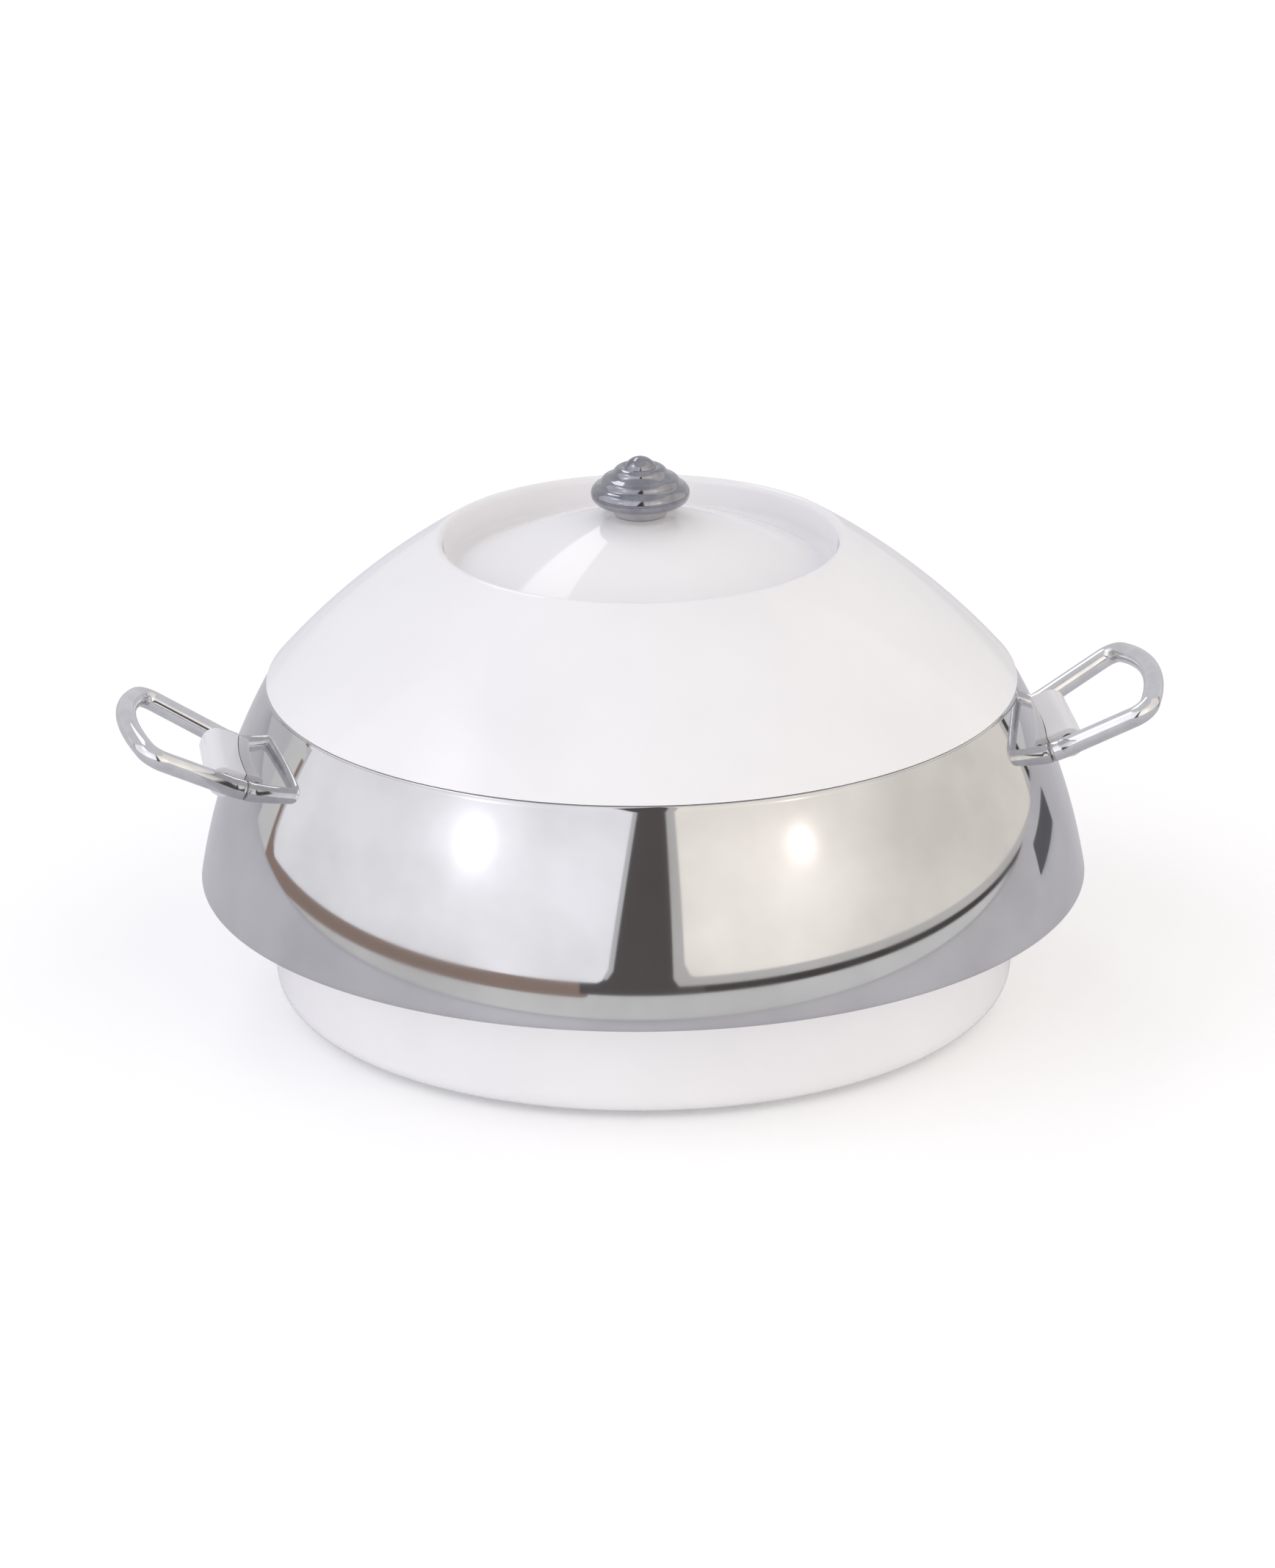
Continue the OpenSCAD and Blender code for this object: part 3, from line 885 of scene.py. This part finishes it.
@dataclass(frozen=True)
class Lid:
    """The lid's dome with its dished top and island, its closing ring and its steel liner."""

    crest_r: float = 80.0
    crest_round: float = 2.5
    crest_meet: float = 56.0
    dome_bow: float = 3.3
    dome_edge: float = 0.25
    rise: float = 57.2
    dish_r: float = 76.2
    dish_depth: float = 12.5
    dish_fillet: float = 3.0
    dish_cove: float = 1.0
    island_r: float = 14.0
    island_bow: float = 1.6
    shell: float = 2.6
    hole_r: float = 2.75
    ring_rise: float = 6.0
    ring_edge: float = 0.4
    spigot_drop: float = 8.0
    spigot_lip: float = 1.2
    gap: float = 0.15
    liner_sheet: float = 0.8
    columns: int = 320

    def low_z(self) -> float:
        """Height of the dome's lower edge."""
        return float(node_box("lid_dome")[0][2])

    def top_z(self) -> float:
        """Height of the island's top, where the collar stands."""
        return float(node_box("lid_dome")[1][2])

    def wall(self) -> Bow:
        """The dome's outer slope."""
        low = np.array([node_box("lid_dome")[1][0], self.low_z()])
        return Bow.through(low, self.crest_end(), self.dome_bow)

    def crest(self) -> Array:
        """Centre of the rim's rounded crest."""
        return np.array([self.crest_r, self.low_z() + self.rise - self.crest_round])

    def crest_end(self) -> Array:
        """Where the outer slope meets the rounded crest."""
        a = math.radians(self.crest_meet)
        return self.crest() + self.crest_round * np.array([math.cos(a), math.sin(a)])

    def dish(self, inset: float) -> Array:
        """Dish wall's fillet and the island's bowed slope.

        Args:
            inset: How far both are moved in.

        Returns:
            Its points.
        """
        floor = self.low_z() + self.rise - self.dish_depth
        corner = np.array([self.dish_r - self.dish_fillet, floor + self.dish_fillet])
        slope = math.atan2(self.top_z() - floor, corner[0] - self.island_r)
        foot = corner + self.dish_fillet * np.array([-math.sin(slope), -math.cos(slope)])
        top = np.array([self.island_r, self.top_z()])
        island = Bow.through(foot, top, self.island_bow)
        centre = np.array([island.centre_r, island.centre_z])
        start, end = angle_of(foot - centre), angle_of(top - centre)
        fillet_end = -90 - math.degrees(slope)
        fillet = arc(corner, self.dish_fillet + inset, 0, fillet_end, steps=16)
        return joined(fillet, arc(centre, island.radius - inset, start, end, steps=48)[1:])

    def dome_outline(self) -> Array:
        """The dome's whole section: slope, crest, dish, island, hole and the inside of each."""
        wall, low, crest_z = self.wall(), self.low_z(), self.crest_end()[1]
        inner_top = crest_z - self.shell
        hole = [[self.hole_r, self.top_z()], [self.hole_r, self.top_z() - self.shell]]
        return joined(
            wall.climb(low, crest_z, steps=64),
            arc(self.crest(), self.crest_round, self.crest_meet, 180, steps=16)[1:],
            self.dish(0),
            hole,
            self.dish(self.shell)[::-1][::2],
            [[self.dish_r + self.shell, inner_top - self.dish_cove]],
            wall.climb(low, inner_top, self.shell, steps=24)[::-1],
        )

    def ring_outline(self) -> Array:
        """The closing ring: a flat plate with an upturned edge and a spigot with a lip."""
        wall, low, shell = self.wall(), self.low_z(), self.shell
        spigot_r = self.spigot_radius()
        spigot_in = spigot_r - shell
        spigot_low = low - self.spigot_drop
        lip_r, lip_top = spigot_in - self.spigot_lip, spigot_low + self.spigot_lip
        edge = low + self.ring_rise
        return joined(
            [[spigot_r, low]],
            wall.climb(low, edge, shell + self.gap, steps=6),
            wall.climb(low + shell, edge, 2 * shell + self.gap, steps=4)[::-1],
            [[spigot_in, low + shell], [spigot_in, lip_top]],
            [[lip_r, lip_top], [lip_r, spigot_low], [spigot_r, spigot_low]],
        )

    def spigot_radius(self) -> float:
        """Outer radius of the spigot: the liner's radius, its gap and the ring's wall."""
        return float(node_box("lid_liner")[1][0]) + self.gap + self.shell

    def liner_outline(self) -> Array:
        """The domed liner's inside, short straight edge and outside, from the axis to the axis.

        The cap's radius is (edge radius squared plus rise squared) over twice the rise.
        """
        low, high = node_box("lid_liner")
        rise = high[2] - (self.low_z() + self.shell)
        radius = (high[0] ** 2 + rise**2) / (2 * rise)
        turn = math.degrees(math.asin(high[0] / radius))
        centre = (0.0, high[2] - radius)
        outside = arc(centre, radius, 90 - turn, 90, steps=40)
        inside = arc(centre, radius - self.liner_sheet, 90, 90 - turn, steps=40)
        edge = [[high[0] - self.liner_sheet, low[2]], [high[0], low[2]]]
        return joined(inside, edge, outside)

    def build(self) -> None:
        """Makes the dome, the closing ring and the liner, and dresses the foam."""
        dome = lathe(soften(self.dome_outline(), self.dome_edge), self.columns)
        fit_piece("domed_lid", dome, Slot.WHITE, Body.LID, "lid_dome")
        ring = lathe(soften(self.ring_outline(), self.ring_edge), self.columns)
        fit_piece("closing_ring", ring, Slot.WHITE, Body.LID, "lid_ring")
        liner = lathe(self.liner_outline(), self.columns, closed=False)
        fit_piece("lid_inner_dome", liner, Slot.INNER, Body.LID, "lid_liner")
        dress_nodes(Slot.FOAM, "lid_foam")


@dataclass(frozen=True)
class Knob:
    """The ringed knob, its collar, and what fastens them through the lid."""

    bead_r: tuple[float, float, float] = (3.9, 3.1, 2.9)
    ring_r: tuple[float, float, float] = (19.4, 15.6, 10.6)
    groove: float = 0.45
    pitch: Span = (4.0, 4.0)
    cap_r: float = 6.8
    bore_r: float = 4.55
    bore_depth: float = 10.15
    collar_low_r: float = 9.8
    collar_top_r: float = 13.6
    collar_edge: float = 0.5
    columns: int = 128

    def outline(self) -> Array:
        """Bore, base, three stacked bead rings and the domed cap, from the axis to the axis."""
        low = node_box("knob")[0][2]
        heights = low + self.bead_r[0] + np.cumsum([0.0, *self.pitch])
        rings = np.column_stack([np.subtract(self.ring_r, self.bead_r), heights])
        cap = np.array([0.0, heights[2]])
        leave_a, reach_b = self.groove_ends(rings, 0)
        leave_b, reach_c = self.groove_ends(rings, 1)
        leave_c = self.cap_meeting(rings[2], cap)
        ends = ((None, leave_a), (reach_b, leave_b), (reach_c, leave_c))
        beads = [
            arc(ring, bead, -90 if start is None else angle_of(start - ring), angle_of(end - ring))
            for ring, bead, (start, end) in zip(rings, self.bead_r, ends)
        ]
        bore_top = low + self.bore_depth
        bore = [[0, bore_top], [self.bore_r, bore_top], [self.bore_r, low]]
        dome = arc(cap, self.cap_r, angle_of(leave_c - cap), 90)[1:]
        return joined(bore, *beads, dome)

    def groove_ends(self, rings: Array, lower: int) -> tuple[Array, Array]:
        """Where the flat floor of a groove leaves the lower ring and reaches the upper one.

        The floor lies bead_r minus groove out from each centre, square to the line of centres,
        and its ends are the root of bead_r squared minus that distance squared along the line.

        Args:
            rings: Centres of the three rings' beads.
            lower: Number of the lower ring.

        Returns:
            The two points.
        """
        below, above = rings[lower], rings[lower + 1]
        along = (above - below) / np.linalg.norm(above - below)
        bead = np.array(self.bead_r[lower : lower + 2])
        out = bead - self.groove
        half = np.sqrt(bead**2 - out**2)
        square = np.array([along[1], -along[0]])
        return below + out[0] * square + half[0] * along, above + out[1] * square - half[1] * along

    def cap_meeting(self, ring: Array, cap: Array) -> Array:
        """Where the top ring's circle crosses the cap's, above their line of centres.

        The crossing lies (cap_r squared minus bead_r squared plus the centres' distance
        squared) over twice that distance along the line from the cap's centre.

        Args:
            ring: The top ring's centre.
            cap: The cap's centre, at the same height.

        Returns:
            The point.
        """
        gap = np.linalg.norm(ring - cap)
        along = (self.cap_r**2 - self.bead_r[2] ** 2 + gap**2) / (2 * gap)
        return cap + np.array([along, math.sqrt(self.cap_r**2 - along**2)])

    def collar_outline(self) -> Array:
        """The collar's section: a ring whose outside flares upwards."""
        low, high = node_box("knob_collar")
        outside = [[self.collar_low_r, low[2]], [self.collar_top_r, high[2]]]
        return np.array([[Lid.hole_r, low[2]], *outside, [Lid.hole_r, high[2]]])

    def build(self) -> None:
        """Makes the knob and its collar, and dresses the insert, screw and washer."""
        knob = lathe(self.outline(), self.columns, closed=False)
        fit_piece("ringed_knob", knob, Slot.SMOKED, Body.LID, "knob")
        collar = lathe(soften(self.collar_outline(), self.collar_edge), self.columns)
        fit_piece("flared_collar", collar, Slot.CHROME, Body.LID, "knob_collar")
        dress_nodes(Slot.BRASS, "knob_insert")
        dress_nodes(Slot.ZINC, "knob_screw", "knob_washer")


class Side(Enum):
    """The two handles: each side's turn about Z, in degrees."""

    RIGHT = 0.0
    LEFT = 180.0

    def word(self) -> str:
        """The side as it stands in the CAD nodes' names."""
        return self.name.lower()


@dataclass(frozen=True)
class HandleMount:
    """One loop handle, its hood, and what fastens them through the band.

    The stud's rings lie stud_depth and stud_ring inside the wall and clear outside it. The
    rod's face follows by face, smaller by edge, and then the stub's rings.
    """

    band: SteelBand
    side: Side
    rod_r: float = 4.0
    stud_r: float = 2.5
    stud_depth: float = 8.8
    stud_ring: float = 1.0
    clear: float = 0.15
    face: float = 0.01
    edge: float = 0.25
    stub_rings: tuple[float, ...] = (0.7, 1.4, 2.2)
    foot_gap: float = 56.0
    foot_z: float = 100.5
    foot_bend: float = 5.0
    foot_turned: float = 12.0
    tilt: float = 28.0
    stub: float = 4.5
    reach: float = 36.0
    bar_half: float = 36.5
    bar_bow: float = 9.0
    bend_r: float = 7.0
    sides: int = 40

    def wall_r(self) -> float:
        """Radius of the band at the feet."""
        return float(self.band.wall().r(self.foot_z))

    def wall_tilt(self) -> float:
        """Rise of the band's outward normal at the feet, in radians."""
        wall = self.band.wall()
        return math.asin((self.foot_z - wall.centre_z) / wall.radius)

    def knee_r(self) -> float:
        """Distance from the axis to where the stubs end."""
        return self.wall_r() + self.stub * math.cos(self.wall_tilt())

    def foot_turn(self) -> float:
        """Turn of each foot about Z from the handle's middle, in radians."""
        return math.asin(self.foot_gap / 2 / self.knee_r())

    def knee_back(self) -> float:
        """How far from the corner between stub and arm their bend starts and ends."""
        return self.foot_bend * math.tan(math.radians(self.foot_turned))

    def half_loop(self) -> Array:
        """Centre line from a foot's top to the middle of the outer bar, in the loop's plane.

        A straight arm, a bend of radius bend_r that touches both, and half of the bowed bar.
        The arm's length puts the bend's centre at bar radius minus bend_r from the bar's centre.
        """
        foot = np.array([0.0, self.foot_gap / 2])
        splay = math.atan2(self.bar_half - foot[1], self.reach)
        along = np.array([math.cos(splay), math.sin(splay)])
        inward = np.array([math.sin(splay), -math.cos(splay)])
        bar_r = (self.bar_half**2 + self.bar_bow**2) / (2 * self.bar_bow)
        bar_centre = np.array([self.reach + self.bar_bow - bar_r, 0.0])
        offset = foot + self.bend_r * inward - bar_centre
        half = offset @ along
        arm = -half + math.sqrt(half**2 - offset @ offset + (bar_r - self.bend_r) ** 2)
        bend = foot + arm * along + self.bend_r * inward
        bar_turn = angle_of(bend - bar_centre)
        straight = foot + np.linspace(self.knee_back(), arm, num=24)[:, None] * along
        corner = arc(bend, self.bend_r, 90 + math.degrees(splay), bar_turn, steps=20)
        bar = arc(bar_centre, bar_r, bar_turn, 0, steps=32)
        return joined(straight, corner[1:], bar[1:])

    def centre_line(self) -> tuple[Array, Array]:
        """The rod's whole centre line, foot to foot, and its radius at each point.

        Each end starts with the thin stud inside the band, goes square out of the band along
        the stub, and turns into the arm through a short quadratic bend.
        """
        turn, tilt, rise = self.foot_turn(), self.wall_tilt(), math.radians(self.tilt)
        half = self.half_loop()
        loop_r = self.knee_r() * math.cos(turn)
        loop_z = self.foot_z + self.stub * math.sin(tilt)
        across, up = half[:, 0] * math.cos(rise), half[:, 0] * math.sin(rise)
        loop = np.column_stack([loop_r + across, half[:, 1], loop_z + up])
        flat = np.array([math.cos(turn), math.sin(turn), 0.0])
        outward = math.cos(tilt) * flat + np.array([0.0, 0.0, math.sin(tilt)])
        wall = self.wall_r() * flat + np.array([0.0, 0.0, self.foot_z])
        knee = wall + self.stub * outward
        t = np.linspace(0, 1, num=9)[:, None]
        start = knee - self.knee_back() * outward
        bend = (1 - t) ** 2 * start + 2 * t * (1 - t) * knee + t**2 * loop[0]
        stud = [-self.stud_depth, -self.stud_ring, self.clear]
        depths = np.array([*stud, self.clear + self.face, *self.stub_rings])
        stub = wall + depths[:, None] * outward
        quarter = joined(stub, bend, loop[1:])
        size = np.full(len(quarter), self.rod_r)
        size[: len(stud)] = self.stud_r
        size[len(stud)] = self.rod_r - self.edge
        mirrored = quarter[:-1][::-1] * np.array([1, -1, 1])
        return joined(quarter, mirrored), np.concatenate([size, size[:-1][::-1]])

    def rod(self) -> Surface:
        """The bent rod."""
        path, radii = self.centre_line()
        rise = math.radians(self.tilt)
        square = np.array([-math.sin(rise), 0.0, math.cos(rise)])
        return sweep(path, radii, square, self.sides).turned(self.side.value)

    def build(self) -> None:
        """Makes the handle and dresses its hood and backing plate."""
        word = self.side.word()
        fit_piece(f"loop_handle_{word}", self.rod(), Slot.CHROME, Body.BASE, f"handle_{word}")
        dress_nodes(Slot.WHITE, f"hood_{word}")
        dress_nodes(Slot.ZINC, f"backing_plate_{word}")


# ---- The studio ----


class Lamp(NamedTuple):
    """A lamp behind a panel: its place, the size of its glow and the strength that it adds."""

    azimuth: float
    height: float
    size: float
    strength: float


def mirror_only(panel: bpy.types.Object) -> None:
    """Hides a panel from the camera and from shadows, so that only mirrors and lit surfaces see it."""
    panel.visible_camera = False
    panel.visible_shadow = False


def panel_light(
    name: str, colour: str, strength: float, lamps: tuple[Lamp, ...] = (), radius: float = 0.0
) -> Material:
    """A panel's light: even, and stronger round each lamp behind it.

    A lamp adds its strength times e to the minus of (distance from its place over its
    size) squared.

    Args:
        name: The material's name.
        colour: The light's hex colour.
        strength: The even light's strength.
        lamps: The lamps behind the panel.
        radius: Distance of the lamps from the axis.

    Returns:
        The material.
    """
    material = bpy.data.materials.new(name)
    tree = emptied(material)
    values = {"Color": linear(colour), "Strength": strength}
    light = add(tree, "ShaderNodeEmission", values=values)
    total: Socket | float = strength
    for lamp in lamps:
        turn = math.radians(lamp.azimuth)
        place = (radius * math.sin(turn), -radius * math.cos(turn), lamp.height)
        share = calculated(tree, "DIVIDE", distance_from(tree, place), lamp.size)
        power = calculated(tree, "MULTIPLY", calculated(tree, "POWER", share, 2.0), -1.0)
        fade = calculated(tree, "POWER", math.e, power)
        total = calculated(tree, "ADD", calculated(tree, "MULTIPLY", fade, lamp.strength), total)
        tree.links.new(total, light.inputs["Strength"])
    add(tree, "ShaderNodeOutputMaterial", links={"Surface": light.outputs[0]})
    return material


@dataclass(frozen=True)
class Card:
    """A curved studio panel: a sheet on an upright cylinder about the casserole's axis.

    Its azimuths are in degrees from -Y towards +X. Its lower edge drops by sag at
    drop_reach degrees from middle, and lean moves its two upright edges by so many degrees
    for each metre of height.
    """

    name: str
    azimuth: Span
    height: Span
    colour: str
    strength: float
    radius: float = 2.0
    corner: float = 0.01
    sag: float = 0.0
    lean: Span = (0.0, 0.0)
    lamps: tuple[Lamp, ...] = ()
    middle: float = -6.5
    drop_reach: float = 113.0
    columns: int = 97
    rows: int = 25

    def build(self) -> None:
        """Makes the panel.

        Its corners are quarter circles: the edge climbs by corner minus the root of corner
        squared minus the distance left squared.
        """
        u = np.linspace(0, 1, self.columns)[None]
        v = np.linspace(0, 1, self.rows)[:, None]
        width = math.radians(self.azimuth[1] - self.azimuth[0]) * self.radius
        edge = np.clip(np.minimum(u, 1 - u) * width, 0, self.corner)
        climb = self.corner - np.sqrt(self.corner**2 - (self.corner - edge) ** 2)
        flat = self.azimuth[0] + (self.azimuth[1] - self.azimuth[0]) * u
        drop = self.sag * ((flat - self.middle) / self.drop_reach) ** 2
        low = self.height[0] - drop + climb
        z = low + (self.height[1] - climb - low) * v
        shift = (z - self.height[0]) * (self.lean[0] * (1 - u) + self.lean[1] * u)
        turn = np.radians(flat + shift)
        points = np.stack([self.radius * np.sin(turn), -self.radius * np.cos(turn), z], axis=-1)
        quads = grid_faces(self.rows, self.columns, seam=False)
        surface = Surface(points.reshape(-1, 3) / MM, quads, NO_FANS)
        light = panel_light(self.name, self.colour, self.strength, self.lamps, self.radius)
        mirror_only(to_object(self.name, surface, light))


LEFT_LAMPS = (
    Lamp(-55.0, 1.0, 0.15, 1.5),
    Lamp(-55.0, 1.0, 0.42, 0.35),
    Lamp(-40.0, 0.9, 1.3, 0.22),
    Lamp(-84.0, 2.4, 0.5, 1.6),
)
RIGHT_LAMPS = (
    Lamp(39.0, 1.0, 0.14, 0.9),
    Lamp(39.0, 1.0, 0.4, 0.22),
    Lamp(18.0, 1.0, 1.3, 0.38),
)

# Two wide diffusers with a dark gap on the camera's side, and what stands round them.
CARDS = (
    Card(
        "left_diffuser", (-119, -15.6), (0.235, 3.2), "F7F7FC", 1.14,
        corner=0.09, sag=0.19, lean=(0.0, 4.6), lamps=LEFT_LAMPS,
    ),
    Card(
        "left_border", (-120, -14.2), (0.26, 3.3), "E8E8EC", 0.85,
        radius=2.03, corner=0.06, sag=0.19, lean=(0.0, 4.6),
    ),
    Card(
        "right_diffuser", (3.4, 122), (0.27, 3.2), "FFF9F1", 0.98,
        corner=0.09, sag=0.22, lamps=RIGHT_LAMPS,
    ),
    Card(
        "right_border", (0.6, 124), (0.215, 3.3), "E8E6E4", 0.85,
        radius=2.03, corner=0.05, sag=0.2,
    ),
    Card("camera_gap", (-22, 8), (0.16, 3.4), "635E5E", 1.0, radius=2.06),
    Card("left_table_edge", (-121.5, -20), (0.14, 0.45), "A08C82", 1.0, radius=2.08, sag=0.17),
    Card("right_table_edge", (4, 126), (0.165, 0.4), "4C4646", 1.0, radius=2.08, sag=0.17),
    Card("apron", (-130, 135), (-0.02, 0.5), "F2F2F2", 0.88, radius=2.2),
    Card("dark_stand", (105, 120), (0.0, 0.042), "6A6A6E", 1.0, radius=0.62, corner=0.004),
)


@dataclass(frozen=True)
class Studio:
    """The pale floor, the even surrounding light and the panels that the metal mirrors."""

    floor_r: float = 5.0
    floor_edge: float = 0.04
    floor_depth: float = 0.02
    floor_columns: int = 96
    floor_light: str = "F4F4F4"
    # Painted shade: the floor's colour as the metal mirrors it, greyer than the camera sees it.
    floor_painted_shade: str = "D0D0D5"
    floor_roughness: float = 0.9
    floor_specular: float = 0.1
    floor_glow: Span = (0.13, 0.36)
    glow_reach: Span = (0.25, 1.4)
    around: str = "E2E2E6"
    around_strength: float = 0.92
    overhead_z: float = 2.6
    overhead_strength: float = 2.4
    overhead_corners: tuple[Span, ...] = ((-0.02, 1.06), (-0.31, 0.37), (-0.53, 0.62), (-0.17, 1.5))

    def floor(self) -> None:
        """A pale lit table under the casserole, which keeps its shadow and shows the metal painted
        shade.

        Its own glow goes across floor_glow as the distance from the middle goes across
        glow_reach, because the panels' light thins out. The metal doesn't see the glow; it sees a
        greyer colour, painted shade for the dimmer floor round the casserole.
        """
        material, tree, shader = start_material("studio_floor")
        glossy = add(tree, "ShaderNodeLightPath").outputs["Is Glossy Ray"]
        # The second colour, used for glossy rays, is painted shade.
        shades = {MIX_FIRST: linear(self.floor_light), MIX_SECOND: linear(self.floor_painted_shade)}
        shade = add(tree, "ShaderNodeMix", {"data_type": "RGBA"}, shades, {0: glossy})
        glow = spread(tree, distance_from(tree), self.floor_glow, self.glow_reach)
        seen = calculated(tree, "MULTIPLY", glow, calculated(tree, "SUBTRACT", 1.0, glossy))
        shader.inputs["Roughness"].default_value = self.floor_roughness
        shader.inputs["Specular IOR Level"].default_value = self.floor_specular
        shader.inputs["Emission Color"].default_value = linear("FFFFFF")
        tree.links.new(shade.outputs[MIX_RESULT], shader.inputs["Base Color"])
        tree.links.new(seen, shader.inputs["Emission Strength"])
        rim, inner = self.floor_r / MM, (self.floor_r - self.floor_edge) / MM
        low = -self.floor_depth / MM
        outline = np.array([[0, low], [inner, low], [rim, low], [rim, 0], [inner, 0], [0, 0]])
        disc = lathe(outline, self.floor_columns, closed=False)
        to_object("studio_floor", disc, material)

    def surroundings(self) -> None:
        """An even world light."""
        world = bpy.data.worlds.new("studio_surroundings")
        tree = emptied(world)
        values = {"Color": linear(self.around), "Strength": self.around_strength}
        light = add(tree, "ShaderNodeBackground", values=values)
        add(tree, "ShaderNodeOutputWorld", links={"Surface": light.outputs[0]})
        bpy.context.scene.world = world

    def overhead(self) -> None:
        """A bright strip above, which the lid's island mirrors as a slanting stripe.

        Its corners are where the stripe's two edges, as the camera sees them, point after
        the island has mirrored them, carried out to overhead_z.
        """
        corners = np.array([[*corner, 1] for corner in self.overhead_corners])
        surface = Surface(corners * self.overhead_z / MM, np.array([[0, 1, 2, 3]]), NO_FANS)
        light = panel_light("overhead_strip", "FFFFFF", self.overhead_strength)
        mirror_only(to_object("overhead_strip", surface, light))

    def build(self) -> None:
        """Makes the floor, the world and the panels."""
        self.floor()
        self.surroundings()
        for card in CARDS:
            card.build()
        self.overhead()
        log.info("studio has %d curved panels and a strip above", len(CARDS))


@dataclass(frozen=True)
class PhotoCamera:
    """The camera at the photograph's angle.

    It looks at a point on the axis at the height of the band's lower edge. The frame is the
    photograph's, in its pixels, and its angles are in degrees.
    """

    frame_px: tuple[int, int] = (1736, 2135)
    aim_px: Span = (875.7, 1180.7)
    focal_px: float = 10283.0
    distance: float = 3.0
    elevation: float = 20.86
    heading: float = 6.5
    roll: float = 0.437
    aim_height: float = 0.050
    sensor_mm: float = 36.0
    far_clip: float = 50.0

    def build(self) -> None:
        """Makes the camera: its right and up axes are turned by roll about its line of sight."""
        e, h, roll = (math.radians(a) for a in (self.elevation, self.heading, self.roll))
        forward = Vector((math.cos(e) * math.sin(h), math.cos(e) * math.cos(h), -math.sin(e)))
        level = Vector((math.cos(h), -math.sin(h), 0.0))
        upright = level.cross(forward)
        right = math.cos(roll) * level - math.sin(roll) * upright
        up = math.sin(roll) * level + math.cos(roll) * upright
        place = Vector((0, 0, self.aim_height)) - self.distance * forward
        width, height = self.frame_px
        data = bpy.data.cameras.new("photo_camera")
        data.sensor_fit = "HORIZONTAL"
        data.sensor_width = self.sensor_mm
        data.lens = self.sensor_mm * self.focal_px / width
        data.shift_x = (width / 2 - self.aim_px[0]) / width
        data.shift_y = (self.aim_px[1] - height / 2) / width
        data.clip_end = self.far_clip
        camera = bpy.data.objects.new("photo_camera", data)
        turn = Matrix((right, up, -forward)).transposed().to_4x4()
        camera.matrix_world = Matrix.Translation(place) @ turn
        bpy.context.scene.collection.objects.link(camera)
        bpy.context.scene.camera = camera
        log.info("camera stands %.2f m away", self.distance)


def set_view() -> None:
    """Plain colour: what is written is what shows."""
    bpy.context.scene.view_settings.view_transform = "Standard"


def main() -> None:
    """Builds the studio and the casserole in order, and reports each piece."""
    logging.basicConfig(level=logging.INFO, format="%(name)s: %(message)s")
    set_view()
    PhotoCamera().build()
    Studio().build()
    band = SteelBand()
    Bowl().build()
    band.build()
    InnerBowl().build()
    for side in Side:
        HandleMount(band, side).build()
    dress_nodes(Slot.ZINC, "handle_washers", "handle_nuts", "hood_screws")
    Lid().build()
    Knob().build()


if __name__ == "__main__":
    main()
